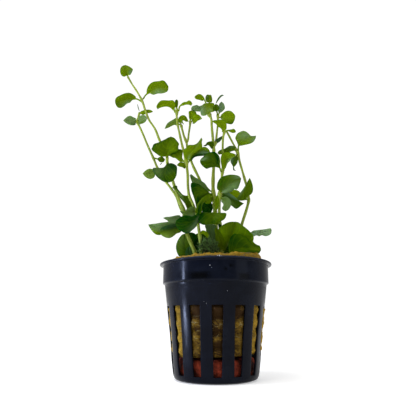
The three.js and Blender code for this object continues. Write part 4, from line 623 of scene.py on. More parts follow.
        [(-3.2, 86), (-4.5, 85), (-5.9, 83.9), (-6.8, 82.6), (-6.8, 80.4), (-6.9, 78.8), (-7.4, 78)],
        [(-3.4, 87.9), (-5, 87.2), (-6.6, 86), (-8, 84.4), (-9.2, 82.6), (-9.7, 80.6), (-9.7, 79),
         (-9.4, 78.2)],
        stalk=0.1, tone=0.38, light_and_tone_marks=[(0.85, 0, 0.3, -0.55, 0)]),
    "g_broad": Leaf(
        [(2.8, 89.4, -6.2), (4.6, 91.2, -6.6), (8.6, 94.4, -8), (13.5, 96.7, -8)],
        [(1.3, 90.6), (1.2, 93.2), (2, 95.5), (3.6, 97.4), (7.1, 98.6), (10.2, 98.6), (12.3, 98)],
        [(4.1, 88.9), (6.2, 89.1), (8.6, 90), (9.7, 91.2), (10.7, 90.8), (11.8, 91.8), (12.4, 93.2),
         (13, 94.9)],
        stalk=0.03, tone=0.26, dome=0.14, light_and_tone_marks=[(0.15, 0.5, 0.2, 0.1, 0.4), (0.6, 0.6, 0.3, 0.05, 0.25),
         (0.35, -0.6, 0.2, -0.15, 0), (0.9, -0.6, 0.15, 0, 0.3)]),
    "g_bright": Leaf(
        [(3.1, 88.4, -4), (6.4, 88.9, -3.4), (9.6, 88.6, -3.4), (12.9, 89, -4)],
        [(8, 90.2), (10.1, 90.5), (11.8, 90)],
        [(7.4, 87.8), (8.7, 86.8), (10.1, 86.2), (11.7, 87.2)],
        stalk=0.3, tone=0.84),
    "g_lobe": Leaf(
        [(2.9, 86.4, -5.4), (4.8, 85.2, -6.4), (5.8, 82.6, -7.4), (5.2, 79.2, -8)],
        [(5.6, 86.6), (7.4, 85.2), (8, 83.2), (7.4, 81.3), (6.4, 79.9)],
        [(3.2, 84.6), (4.1, 83.5), (4.2, 82.3), (3.5, 80.9), (4, 79.8)],
        stalk=0.05, tone=0.35, bloom=0.2, wave=0.12, light_and_tone_marks=[(0.15, 0, 0.25, -0.1, -0.15)]),
    "g_dark": Leaf(
        [(3.1, 87.4, -4.6), (6, 86.6, -5), (10.2, 84.6, -5.4), (14.6, 83.3, -6)],
        [(4.3, 88.8), (6.2, 88.9), (8.2, 87.9), (10, 86.5), (11.4, 85.3), (12.9, 84.2)],
        [(4, 85), (6, 83.6), (8.4, 82.3), (9.5, 81.2), (10.6, 80.6), (11.9, 81.2), (13.2, 82.3)],
        stalk=0.03, tone=0.14, wave=0.12, light_and_tone_marks=[(0.5, -0.9, 0.25, -0.1, 0.35), (0.45, 0.6, 0.2, 0.15, 0.1)]),
    "e_front": Leaf(
        [(-0.4, 79.2, -3.4), (-0.7, 78.4, -7.6), (-0.9, 75.8, -10.6), (-0.9, 72.4, -12)],
        [(2.2, 78.5), (5.1, 78.3), (5.2, 76.8), (4.5, 75.2), (2.8, 74), (1.6, 73.2), (0.4, 72.7)],
        [(-3.2, 78.5), (-5.8, 78.9), (-8.3, 78.4), (-8.4, 75.8), (-8.1, 73.4), (-5.4, 72.1), (-3, 72.6)],
        stalk=0.3, tone=0.26, wave=0.04, ripples=3, light_and_tone_marks=[(0.45, -0.7, 0.25, 0.06, 0),
         (0.45, 1, 0.25, -0.35, 0), (0.9, 0, 0.25, -0.2, 0)]),
    # On c_front, the pale patches near the stalk paint its highlight, and the dark patch along its top edge
    # paints the shadow under c_shelf
    "c_front": Leaf(
        [(-8.4, 73.8, -9.6), (-9.8, 74.6, -11.6), (-14, 73.4, -13.4), (-20.1, 73, -13)],
        [(-9.2, 71.8), (-11.4, 69.9), (-14.2, 67.9), (-17.1, 69.1), (-18.6, 70), (-19.7, 71.7)],
        [(-8.4, 75.2), (-7.9, 77.2), (-8.2, 78.6), (-9.4, 77.6), (-10.6, 76.8), (-12, 76.4), (-14.9, 77),
         (-16.8, 76.5), (-18.4, 75.4), (-19.8, 74.2)],
        stalk=0.03, tone=0.03, dome=0.12, light_and_tone_marks=[(0.1, 0, 0.2, 0.15, 0.3), (0.3, -0.7, 0.2, 0.1, 0.25),
         (0.55, 0.95, 0.2, -0.8, 0)]),
    "c_shelf": Leaf(
        [(-9.9, 79, -8.6), (-12, 78.7, -9.4), (-15, 78.3, -10.4), (-18, 79.3, -11)],
        [(-10.4, 76.9), (-11.7, 76.2), (-13.4, 76.6), (-15.2, 76.9), (-16.6, 77.8)],
        [(-10.6, 81.1), (-12.2, 81.4), (-13.8, 80.4), (-15.2, 79), (-16.8, 79.3)],
        stalk=0.04, tone=0.4, bloom=0.12, light_and_tone_marks=[(0.3, -1, 0.25, 0.05, 0.4), (0.3, 0.7, 0.2, -0.1, 0)]),
    "a_spear": Leaf(
        [(-16.6, 75.8, -6), (-19.4, 75.6, -7), (-23, 75.3, -8.6), (-26.4, 75.8, -9)],
        [(-17.6, 73.6), (-20.5, 72.9), (-23.1, 73.2), (-24, 74.4), (-25.4, 75.2)],
        [(-18.3, 76.9), (-20.9, 76.6), (-22.8, 76.3), (-25, 76.2)],
        stalk=0.04, tone=0.4, bloom=0.35, light_and_tone_marks=[(0.9, -0.4, 0.2, -0.2, -0.3)]),
    "a_long": Leaf(
        [(-16.6, 72, -6), (-20.4, 71.8, -6), (-27, 70.6, -7.6), (-33.7, 72.4, -8)],
        [(-19, 69.4), (-23.5, 68.4), (-27.5, 67.2), (-28.8, 67.2), (-29.8, 67.5), (-31.3, 68.8),
         (-32.3, 70.1), (-33.2, 71.4)],
        [(-18.5, 73.1), (-20.5, 73.4), (-22.8, 73.6), (-24.9, 73.4), (-27.3, 73.2), (-29.9, 72.8),
         (-32.1, 72.6)],
        stalk=0.06, tone=0.42, bloom=0.3, light_and_tone_marks=[(0.6, -1, 0.25, 0.1, -0.5), (1, 0, 0.15, -0.4, -0.3)]),
    # On a_under, the dark patch over the upper half paints its shade
    "a_under": Leaf(
        [(-16, 70.4, -6), (-19.4, 70, -7.4), (-23.6, 69.1, -9.4), (-27.5, 68.3, -10)],
        [(-17.4, 68.8), (-19.4, 68), (-20.6, 66.9), (-22.5, 65.7), (-24.3, 65.7), (-25.4, 66.1),
         (-26.8, 66.9)],
        [(-17.8, 71.9), (-20.5, 72.5), (-23.5, 72.1), (-26, 71.1), (-27.4, 70.1)],
        stalk=0.08, tone=0.4, light_and_tone_marks=[(0.5, 1, 0.4, -0.75, 0.1), (0.6, -1, 0.35, 0.35, 0.15)]),
    "a_round": Leaf(
        [(-11.4, 58.6, -4.5), (-13.6, 58.4, -3.8), (-15, 62.6, -3), (-14.8, 67.8, -2.4)],
        [(-15.4, 56.1), (-17.8, 56.7), (-19.1, 59.4), (-19.3, 61.8), (-18.7, 64.1), (-17.5, 66.2),
         (-16.3, 67.4)],
        [(-11.8, 57.9), (-11.2, 59.6), (-11, 62.4), (-9.6, 65.2), (-10.2, 67.6), (-12.4, 68.4)],
        stalk=0.25, fold=-4, tone=0.24, light_and_tone_marks=[(0.7, 1, 0.25, -0.3, 0), (0.15, 0, 0.25, -0.2, 0),
         (0.7, -0.4, 0.25, 0.1, 0.08)]),
    "g_grey": Leaf(
        [(1.5, 72.7, -5.8), (-2, 72.4, -6), (-2.4, 66, -6.4), (-1, 59, -6.6)],
        [(-0.4, 72.2), (0.1, 71.4), (0.3, 69), (0.2, 66), (0.2, 63), (-0.1, 60.5)],
        [(-3.4, 73), (-4.9, 71.8), (-4.4, 69.8), (-3.8, 68), (-3.3, 65), (-2.7, 62)],
        stalk=0.3, tone=0.2, bloom=0.15),
    "g_tall": Leaf(
        [(4.2, 60, -5.6), (2.6, 62, -6.6), (1.6, 66.4, -7.9), (0.6, 71, -8.4)],
        [(2.4, 60), (0.8, 61.6), (0.2, 64), (0.1, 67), (-0.4, 69.8)],
        [(4.5, 61.4), (4.9, 63.3), (4.4, 65.4), (3.2, 67.6), (1.8, 69.6)],
        stalk=0.03, tone=0.54, light_and_tone_marks=[(0.9, 0, 0.3, -0.15, 0)]),
    # On g_coin, the three dark patches on the right half paint the shade in its hollow, and the broad light
    # patch on the left half paints the light on that side
    "g_coin": Leaf(
        [(4.5, 59.6, -6.2), (6, 62.6, -8.6), (8.4, 66.8, -11), (10.2, 73.9, -10)],
        [(4.1, 60), (4.6, 61.6), (4.9, 63.3), (4.3, 65.5), (3, 67.6), (1.9, 69.6), (3.1, 71.4), (4.8, 72.7),
         (7.2, 73.7)],
        [(8, 58.7), (12, 58.5), (16, 58.4), (18.6, 60.8), (18.4, 63.6), (18.8, 65.6), (18.5, 67),
         (17.3, 68.5), (15.3, 70.5), (13.2, 72.2), (11.6, 73.5)],
        stalk=0.02, fold=16, tone=0.27, dome=0.05, light_and_tone_marks=[(0.45, 0.42, 0.16, -0.32, 0),
         (0.3, 0.5, 0.2, -0.45, 0), (0.12, 0.35, 0.14, -0.35, 0), (0.5, 1, 0.12, 0.3, 0),
         (0.3, -0.05, 0.07, 0.22, 0.1), (0.12, -0.05, 0.07, 0.2, 0.1), (0.45, -0.7, 0.3, 0.24, 0),
         (0.9, 0.6, 0.25, 0.08, 0)]),
    "h_side": Leaf(
        [(10.7, 60.4, 6), (14, 61, 0), (18.2, 61.4, -4), (22.3, 59.8, -5)],
        [(15.2, 63.6), (17, 64.6), (18.4, 63.8), (19.3, 62.8), (20.6, 62), (21.9, 61.5)],
        [(15.5, 59), (17.5, 58.5), (19.6, 58.2), (21.3, 57.9), (22, 58.8)],
        stalk=0.4, tone=0.48),
    "h_wavy": Leaf(
        [(14.4, 67.8, 5), (18, 67.8, 4), (23.2, 68.3, 2), (28.1, 69.3, 1)],
        [(18.8, 68.9), (20.3, 69.2), (22.3, 69.5), (25, 69.9), (27.6, 70.4)],
        [(19, 66.7), (20.4, 67.1), (21.8, 66.6), (23, 67.1), (24.2, 66.7), (25.4, 66.6), (26.9, 67.1),
         (27.8, 68.1)],
        stalk=0.28, tone=0.62, bloom=0.7, light_and_tone_marks=[(1, 0, 0.12, 0.3, -0.6)]),
}
# Leaves at the foot: two behind the stems, given a very deep tone as painted shade where the foot lies in
# shadow, and one in front of the broad leaf
FOOT_LEAVES = [
    Leaf(
        [(-8.2, 56, 1), (-8.2, 60, 1), (-7.8, 64.6, 1), (-7.4, 68.4, 1)],
        [(-10.8, 58), (-11.6, 61), (-11.4, 64), (-10.4, 67)],
        [(-5.6, 57.4), (-4.4, 60), (-3.7, 63), (-3.8, 65.8), (-4.8, 67.6)],
        stalk=0.04, tone=0.1, light_and_tone_marks=[(0.3, 0, 0.3, -0.2, 0)]),
    Leaf(
        [(7, 55.6, 2), (7, 57.4, 2), (7, 59, 2), (7, 61, 2)],
        [(3, 56), (1.2, 58), (1.6, 59.8), (4, 60.8)],
        [(13, 56), (14.4, 58), (13.4, 59.8), (10, 60.8)],
        stalk=0.04, tone=0.06),
    Leaf(
        [(6.4, 57.4, -12), (9.5, 59.4, -13.4), (14, 60.4, -13.6), (18.4, 60, -12.8), (22.5, 59.5, -11)],
        [(6.6, 61), (7.1, 64.2), (8.6, 66.8), (10.5, 67.4), (12.6, 67.1), (14.3, 66.2), (15.8, 65.1),
         (18.5, 62.3), (20.8, 61.5), (22.2, 60.8)],
        [(8.1, 57), (12, 57.3), (16.9, 58), (20, 58.4), (21.8, 58.6)],
        stalk=0.04, tone=0.2, dome=0.03, light_and_tone_marks=[(0.3, -0.6, 0.22, -0.16, 0), (0.55, -0.15, 0.1, -0.12, 0),
         (0.5, -1, 0.12, 0.1, 0), (0.9, 0, 0.25, 0.3, 0), (0.7, 0.6, 0.15, -0.12, 0)]),
]


def linear(code):
    """Linear RGBA from an sRGB hex colour such as #5f8211."""
    channels = [int(code[place : place + 2], 16) / 255 for place in (1, 3, 5)]
    return [c / 12.92 if c <= 0.04045 else ((c + 0.055) / 1.055) ** 2.4 for c in channels] + [1.0]


def colour_property(name, code, description):
    """A colour that the user can change, from its sRGB hex value."""
    return FloatVectorProperty(
        name=name, description=description, subtype="COLOR", size=4, min=0, max=1, default=linear(code)
    )


def length_property(name, millimetres, description):
    """A length that the user can change, kept in metres."""
    return FloatProperty(
        name=name, description=description, default=millimetres * MM, min=0, unit="LENGTH", precision=5
    )


def count_property(name, default, description, least):
    """A whole number that the user can change."""
    return IntProperty(name=name, description=description, default=default, min=least)


def number_property(name, default, description, unit="NONE", subtype="NONE"):
    """A number that the user can change, such as a power, an angle or a share."""
    return FloatProperty(name=name, description=description, default=default, unit=unit, subtype=subtype)


class PotSettings(bpy.types.PropertyGroup):
    """Sizes and colours of the net pot."""

    height: length_property("Height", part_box("net_pot")[1].z / MM, "From the foot to the top of the rim")
    rim_radius: length_property("Rim radius", -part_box("net_pot")[0].y / MM, "Outside of the flange")
    edge_round: length_property("Edge rounding", 0.22, "Radius left on the moulding's edges")
    warp: length_property("Rim warp", 0.25, "How far the thin rim waves up and down")
    bow: length_property("Rim bow", 1.0, "How far the thin rim bows up at the front")
    colour: colour_property("Plastic", "#080b15", "Body colour of the plastic")
    film: colour_property("Film", "#10141f", "Dried film of algae and lime on the plastic")
    # Painted highlight: this lighter colour is laid on the front of the rim's top where it catches the light,
    # and in an even small share over the band
    rim_sheen_colour: colour_property("Rim film", "#2c3342", "Thicker film where the rim is handled and dries")
    wet: colour_property("Wet plastic", "#010204", "Plastic under a stain that is still damp")
    roughness: number_property("Roughness", 0.16, "Of the clean plastic", subtype="FACTOR")
    dulling: number_property("Dulling", 0.16, "Roughness that the dried film adds", subtype="FACTOR")


class FillingSettings(bpy.types.PropertyGroup):
    """Sizes and colours of the rock wool and the clay weight."""

    roll_height: length_property("Roll height", 6.25, "Height of one roll of the wrapped wool")
    roll_depth: length_property("Roll depth", 0.4, "How far each roll stands out")
    tuft: length_property("Tuft size", 1.6, "Width of the wool's tufts")
    fibre_count: count_property("Fibres", 2600, "Loose fibres drawn for the wool", 0)
    fibre_radius: length_property("Fibre radius", 0.06, "Radius of a bundle of loose fibres")
    wool: colour_property("Wool", "#b8922e", "Damp rock wool in the light")
    # This dark colour is also the painted shade on the wool: the darkening blends towards it, and loose
    # fibres use it as their dark end
    wool_soaked_and_shaded: colour_property("Wet wool", "#33210a", "Soaked and stained rock wool")
    fibre: colour_property("Fibre", "#d8c98a", "Dry loose fibres that catch the light")
    clay: colour_property("Clay", "#a8432a", "Fired red clay")
    clay_dark: colour_property("Clay pores", "#3a150e", "Pores and stains in the clay")
    grain: length_property("Clay grain", 0.7, "Width of the clay's grains")


class PlantSettings(bpy.types.PropertyGroup):
    """Sizes and colours of the stems and leaves."""

    blade: length_property("Blade thickness", 0.34, "Thickness of a leaf at its rib")
    pucker: length_property("Pucker", 0.05, "How far the blade stands up between its veins")
    vein_pairs: count_property("Vein pairs", 5, "Side veins on each half of a leaf", 1)
    deep: colour_property("Deep green", "#073701", "Old and shaded leaves")
    fresh: colour_property("Fresh green", "#7b9604", "Young leaves in the light")
    # Painted sheen: a pale colour standing in for the reflection of the bright surroundings on the blades;
    # the paler undersides use it too
    bloom: colour_property("Bloom", "#8fae86", "Pale waxy film on the blade")
    stem: colour_property("Stem", "#a3b344", "Stems in the light")
    stem_deep: colour_property("Deep stem", "#5a6e14", "Stems in the shade")
    moss: colour_property("Moss", "#587a38", "Clump of moss at the foot")
    litter: colour_property("Litter", "#2f3a1c", "Withered bits in the moss")


class StageSettings(bpy.types.PropertyGroup):
    """Camera, light and floor."""

    lens: number_property("Lens", 36.3, "Focal length on a 36 mm sensor", unit="CAMERA")
    pitch: number_property("Pitch", math.radians(15), "Tilt of the camera above the horizon", unit="ROTATION")
    key_power: number_property("Key light", 3.2, "Power of the high left light", unit="POWER")
    strip_power: number_property("Strip light", 2.2, "Power of the tall narrow left light", unit="POWER")
    low_power: number_property("Low light", 0.04, "Power of the light at the floor", unit="POWER")
    window_power: number_property("Window", 0.8, "Power of the right front light", unit="POWER")
    sky: number_property("Sky", 0.62, "Strength of the white surroundings as light")
    sky_seen: number_property("Sky seen", 1.05, "Strength of the white surroundings to look at")
    floor: colour_property("Floor", "#fafafa", "Plain pale floor")
    floor_glow: number_property("Floor glow", 0.28, "Light through the floor under the pot")
    floor_lift: number_property("Floor lift", 0.2, "Extra glow that only the camera sees")
    back_glow: number_property("Back glow", 0.6, "Light through the floor far from the pot")


# Surfaces


@dataclass
class Surface:
    """Points, four-sided and three-sided faces, and what each point carries.

    Kind is the number of the faces' material: one for all of them, or one each with the quads first.
    """

    points: np.ndarray
    quads: np.ndarray
    triangles: np.ndarray
    values: dict = field(default_factory=dict)
    kind: int | np.ndarray = 0


def joined(surfaces):
    """One surface of several."""
    offsets = np.cumsum([0] + [len(s.points) for s in surfaces])
    points = np.vstack([s.points for s in surfaces])
    quads = np.vstack([s.quads + at for s, at in zip(surfaces, offsets)])
    triangles = np.vstack([s.triangles + at for s, at in zip(surfaces, offsets)])
    values = {name: np.concatenate([s.values[name] for s in surfaces]) for name in surfaces[0].values}
    counts = [len(s.quads) for s in surfaces] + [len(s.triangles) for s in surfaces]
    return Surface(points, quads, triangles, values, np.repeat([s.kind for s in surfaces] * 2, counts))


def circle(count):
    """Angles that share out a full turn."""
    return 2 * np.pi * np.arange(count) / count


def outward(surface):
    """The surface with its faces turned out: six times its volume is the sum of p0 . (p1 x p2)."""
    q = surface.quads
    corners = np.vstack([q[:, [0, 1, 2]], q[:, [0, 2, 3]], surface.triangles])
    a, b, c = (surface.points[corners[:, i]] for i in range(3))
    if np.einsum("ij,ij->i", a, np.cross(b, c)).sum() < 0:
        surface.quads = surface.quads[:, ::-1]
        surface.triangles = surface.triangles[:, ::-1]
    return surface


def skin(rings, start, end, values=None, kind=0):
    """Closed surface over rings of equal count, with a point at each end.

    Face (i, j) joins ring i at places j and j + 1 to ring i + 1 at the same places, counted round. A
    value has one number for each place of each ring, and an end point takes its ring's mean.
    """
    count, sides = rings.shape[:2]
    points = np.vstack([rings.reshape(-1, 3), start, end])
    ring, side = np.meshgrid(np.arange(count - 1), np.arange(sides), indexing="ij")
    here = (ring * sides + side).ravel()
    beside = (ring * sides + (side + 1) % sides).ravel()
    quads = np.stack([here, here + sides, beside + sides, beside], axis=1)
    around = np.arange(sides)
    after = (around + 1) % sides
    last = (count - 1) * sides
    first_cap = np.stack([np.full(sides, count * sides), around, after], axis=1)
    last_cap = np.stack([np.full(sides, count * sides + 1), last + after, last + around], axis=1)
    spread = {
        name: np.concatenate([value.ravel(), [value[0].mean(), value[-1].mean()]])
        for name, value in (values or {}).items()
    }
    return outward(Surface(points, quads, np.vstack([first_cap, last_cap]), spread, kind))


def ripple(points, size, seed, waves=28):
    """Smooth noise of about unit depth: plane waves in random directions, added and scaled.

    Their lengths lie round the size, and the scale is one over the root of half their count.
    """
    draw = np.random.default_rng(seed)
    ways = draw.normal(size=(waves, 3))
    ways /= np.linalg.norm(ways, axis=1)[:, None]
    ways *= 2 * np.pi / (size * draw.uniform(0.7, 1.6, waves))[:, None]
    phases = draw.uniform(0, 2 * np.pi, waves)
    return np.sin(points @ ways.T + phases).sum(axis=-1) / math.sqrt(waves / 2)


def smooth(value, low, high):
    """0 below low, 1 above high, and an even S between."""
    share = np.clip((value - low) / (high - low), 0, 1)
    return share * share * (3 - 2 * share)


def put_piece(name, surface, nodes, materials):
    """A smooth mesh object of the surface, in place of the CAD nodes, with millimetres turned to metres.

    Each value goes to an attribute of its own, but u and v go to a UV map.
    """
    mesh = bpy.data.meshes.new(name)
    faces = surface.quads.tolist() + surface.triangles.tolist()
    mesh.from_pydata((surface.points * MM).tolist(), [], faces)
    mesh.polygons.foreach_set("use_smooth", np.ones(len(faces), bool))
    mesh.polygons.foreach_set("material_index", np.full(len(faces), surface.kind))
    values = dict(surface.values)
    if "u" in values:
        corner = np.zeros(len(mesh.loops), int)
        mesh.loops.foreach_get("vertex_index", corner)
        places = np.stack([values.pop("u")[corner], values.pop("v")[corner]], axis=1)
        mesh.uv_layers.new(name="UVMap").data.foreach_set("uv", places.astype(np.float32).ravel())
    for value_name, value in values.items():
        layer = mesh.attributes.new(value_name, "FLOAT", "POINT")
        layer.data.foreach_set("value", value.astype(np.float32))
    mesh.update()
    if mesh.validate():
        raise RuntimeError(f"{name} has broken faces")
    for material in materials:
        mesh.materials.append(material)
    piece = bpy.data.objects.new(name, mesh)
    bpy.context.scene.collection.objects.link(piece)
    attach(piece, BODY)
    if nodes:
        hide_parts(*nodes)
    return piece


# Curves


def seen(points):
    """Real places from places seen: on the line from EYE through the axis plane, so far behind it."""
    across, up, depth = np.asarray(points, float).T
    on_plane = np.stack([across, np.zeros_like(across), up], axis=1)
    return EYE + (on_plane - EYE) * (1 - depth / EYE[1])[:, None]


def spline(points, share):
    """Places and directions along the Catmull-Rom curve through the points, at shares of its spans.

    On a span from p1 to p2 with slopes m1 and m2, each half of the chord between the neighbours:
    p1 + m1 w + (3 p2 - 3 p1 - 2 m1 - m2) w2 + (2 p1 - 2 p2 + m1 + m2) w3.
    """
    ends = np.vstack([2 * points[0] - points[1], points, 2 * points[-1] - points[-2]])
    place = np.clip(share, 0, 1) * (len(points) - 1)
    span = np.minimum(place.astype(int), len(points) - 2)
    w = (place - span)[:, None]
    p0, p1, p2, p3 = (ends[span + step] for step in range(4))
    m1, m2 = (p2 - p0) / 2, (p3 - p1) / 2
    square, cube = 3 * p2 - 3 * p1 - 2 * m1 - m2, 2 * p1 - 2 * p2 + m1 + m2
    slope = m1 + 2 * square * w + 3 * cube * w**2
    return p1 + m1 * w + square * w**2 + cube * w**3, unit(slope)


def evenly(points, share):
    """Places at shares of the length of the curve through the points."""
    fine = np.linspace(0, 1, 400)
    line = spline(points, fine)[0]
    length = np.concatenate([[0], np.cumsum(np.linalg.norm(np.diff(line, axis=0), axis=1))])
    return spline(points, np.interp(share, length / length[-1], fine))[0]


def unit(vectors):
    """Vectors of length one in the same directions."""
    return vectors / np.linalg.norm(vectors, axis=-1, keepdims=True)


def across_frame(centre, along):
    """Directions across a stem or leaf: to the right as seen from EYE, and towards it."""
    right = unit(np.cross(unit(centre - EYE), along))
    return right, unit(np.cross(right, along))


def strands(paths, radii, sides=3):
    """Many thin closed tubes at once. Each ring is the path's place plus the radius round its direction.

    The radius follows the square root of the sine along the strand, so both ends are fine points.
    """
    many, stations = paths.shape[:2]
    along = unit(np.gradient(paths, axis=1))
    right = unit(np.cross(along, np.broadcast_to(LEAN, along.shape)))
    front = np.cross(right, along)
    taper = np.sqrt(np.sin(np.pi * (np.arange(stations) + 0.5) / stations))
    reach = radii[:, None, None, None] * taper[:, None, None]
    turn = circle(sides)[:, None]
    rings = paths[:, :, None] + reach * (right[:, :, None] * np.cos(turn) + front[:, :, None] * np.sin(turn))
    one = skin(rings[0], paths[0, 0], paths[0, -1])
    points = np.concatenate([rings.reshape(many, -1, 3), paths[:, :1], paths[:, -1:]], axis=1).reshape(-1, 3)
    offsets = (np.arange(many) * len(one.points))[:, None, None]
    return Surface(points, (one.quads + offsets).reshape(-1, 4), (one.triangles + offsets).reshape(-1, 3))


# Materials


def fill(tree, made, inputs):
    """Give each input of a node its value, or a link where it is given a socket."""
    for socket, value in inputs.items():
        if isinstance(value, bpy.types.NodeSocket):
            tree.links.new(value, made.inputs[socket])
        else:
            made.inputs[socket].default_value = value


def node(tree, kind, inputs=None, **settings):
    """Add a shader node of a kind, with its inputs and settings."""
    made = tree.nodes.new("ShaderNode" + kind)
    for name, value in settings.items():
        setattr(made, name, value)
    fill(tree, made, inputs or {})
    return made


def noise(tree, place, size, detail=2.0, roughness=0.5):
    """Cloudy noise around one half, from the size of its clouds in millimetres."""
    inputs = {"Vector": place, "Scale": per(size), "Detail": detail, "Roughness": roughness}
    return node(tree, "TexNoise", inputs).outputs["Fac"]


def ramp(tree, value, low, high, start=0.0, end=1.0):
    """A value that goes from start to end while another goes from low to high."""
    inputs = {"Value": value, "From Min": low, "From Max": high, "To Min": start, "To Max": end}
    return node(tree, "MapRange", inputs).outputs["Result"]


def sums(tree, operation, *values, clamped=False):
    """One sum of up to three values."""
    return node(tree, "Math", dict(enumerate(values)), operation=operation, use_clamp=clamped).outputs[0]


def blend(tree, share, colour, other):
    """A colour that turns into another one as the share goes from 0 to 1."""
    return node(tree, "Mix", {0: share, 6: colour, 7: other}, data_type="RGBA").outputs[2]


def carried(tree, name):
    """A value that the surface carries at its points."""
    return node(tree, "Attribute", attribute_name=name).outputs["Fac"]


def bump(tree, height, strength, depth):
    """Direction of a fine relief, from its depth in millimetres."""
    inputs = {"Height": height, "Strength": strength, "Distance": depth * MM}
    return node(tree, "Bump", inputs).outputs["Normal"]


def is_seen(tree):
    """1 where the camera looks at a thing itself, and 0 where it only gives light."""
    return node(tree, "LightPath").outputs["Is Camera Ray"]


def new_material(name):
    """An empty material, its node tree and the place's object coordinates."""
    material = bpy.data.materials.new(name)
    material.use_nodes = True
    tree = material.node_tree
    return material, tree, node(tree, "TexCoord").outputs["Object"]


def finished(material, inputs):
    """The material, with the inputs of its shader filled in."""
    tree = material.node_tree
    fill(tree, tree.nodes["Principled BSDF"], inputs)
    return material


def per(millimetres):
    """Pattern scale, in repeats to the metre, from the size of one repeat."""
    return 1 / (millimetres * MM)


def pot_material(pot):
    """Injection-moulded polypropylene: near-black, satin, with a thin dried film that greys and dulls it, and
    a painted highlight, a lighter colour, on the front of the rim's top.
    """
    material, tree, place = new_material("moulded_black_polypropylene")
    film = ramp(tree, noise(tree, place, 7, 4), 0.42, 0.75)
    filmed = blend(tree, film, pot.colour, pot.film)
    # Painted highlight on the rim's front top, from the rim sheen share that the skin carries
    with_rim_sheen = blend(tree, carried(tree, "crust"), filmed, pot.rim_sheen_colour)
    inputs = {
        "Base Color": blend(tree, carried(tree, "soaked"), with_rim_sheen, pot.wet),
        "Roughness": ramp(tree, film, 0, 1, pot.roughness, pot.roughness + pot.dulling),
        "Normal": bump(tree, noise(tree, place, 0.9, 3), 0.14, 0.05),
        "IOR": 1.49,
        "Specular IOR Level": 0.08,
    }
    return finished(material, inputs)


def clay_material(filling):
    """Fired red clay, pressed and dull: grains in two reds with dark pores."""
    material, tree, place = new_material("fired_red_clay")
    scale = per(filling.grain / MM)
    grain = node(tree, "TexVoronoi", {"Vector": place, "Scale": scale}, feature="F1").outputs["Distance"]
    pores = ramp(tree, noise(tree, place, 3, 5), 0.35, 0.62)
    inputs = {
        "Base Color": blend(tree, pores, filling.clay_dark, filling.clay),
        "Normal": bump(tree, grain, 0.7, 0.25),
        "Roughness": 0.88,
        "Specular IOR Level": 0.25,
    }
    return finished(material, inputs)


def wool_material(filling):
    """Spun rock wool, wrapped and damp: tufts of golden fibre, going to soaked brown with the skin's
    darkening, which holds the dampness, painted shade at the front and in the folds, and painted light on the
    sides and the rolls' crests.
    """
    material, tree, place = new_material("spun_rock_wool")
    lay = node(tree, "Mapping", {"Vector": place, "Scale": (1.0, 1.0, 3.2)}).outputs["Vector"]
    fibre = noise(tree, lay, 1.1, 8, 0.72)
    # The skin's darkening, with its dampness and its painted shade and light, plus random fibre noise
    wet = sums(tree, "ADD", carried(tree, "wet"), ramp(tree, fibre, 0.3, 0.7, -0.32, 0.32), clamped=True)
    inputs = {
        "Base Color": blend(tree, wet, filling.wool, filling.wool_soaked_and_shaded),
        "Normal": bump(tree, fibre, 0.9, 0.5),
        "Roughness": 0.8,
        "Specular IOR Level": 0.1,
    }
    return finished(material, inputs)


def fibre_material(filling):
    """Loose glassy fibres: pale gold, shiny enough to glint along the rolls."""
    material, tree, place = new_material("spun_rock_fibre")
    inputs = {
        "Base Color": blend(tree, noise(tree, place, 2, 3), filling.wool_soaked_and_shaded, filling.fibre),
        "Roughness": 0.45,
        "Specular IOR Level": 0.3,
    }
    return finished(material, inputs)


def leaf_veins(tree, pairs):
    """1 on a leaf's rib and side veins, 0 between them.

    With u and v across and along the blade, a side vein runs where pairs times v - 2 slope |u - 0.5| is
    a whole number: there the cosine of that many turns is at its crest.
    """
    uv = node(tree, "UVMap", uv_map="UVMap").outputs["UV"]
    parts = node(tree, "SeparateXYZ", {"Vector": uv}).outputs
    across = sums(tree, "ABSOLUTE", sums(tree, "SUBTRACT", parts["X"], 0.5))
    lift = sums(tree, "MULTIPLY_ADD", across, -2 * VEIN_SLOPE, parts["Y"])
    crest = sums(tree, "COSINE", sums(tree, "MULTIPLY", lift, 2 * math.pi * pairs))
    return sums(tree, "MAXIMUM", ramp(tree, crest, 0.86, 1), ramp(tree, across, 0.035, 0))


def leaf_material(plant):
    """Fresh leaf: soft waxy skin, green by its age and by painted shade, with a painted pale sheen, paler
    veins and light passing through.
    """
    material, tree, place = new_material("fresh_leaf")
    veins = leaf_veins(tree, plant.vein_pairs)
    mottle = ramp(tree, noise(tree, place, 1.8, 4), 0.3, 0.7, -0.03, 0.03)
    blotched = sums(tree, "ADD", carried(tree, "tone"), mottle)
    veined = sums(tree, "MULTIPLY_ADD", veins, 0.12, blotched, clamped=True)
    green = blend(tree, veined, plant.deep, plant.fresh)
    relief = sums(tree, "MULTIPLY_ADD", veins, -0.6, noise(tree, place, 0.5))
    inputs = {
        "Base Color": blend(tree, carried(tree, "bloom"), green, plant.bloom),
        "Normal": bump(tree, relief, 0.12, 0.06),
        "Roughness": 0.42,
        "Specular IOR Level": 0.02,
        "Subsurface Weight": 0.12,
        "Subsurface Radius": (0.5, 1.0, 0.12),
        "Subsurface Scale": 0.5 * MM,
    }
    return finished(material, inputs)


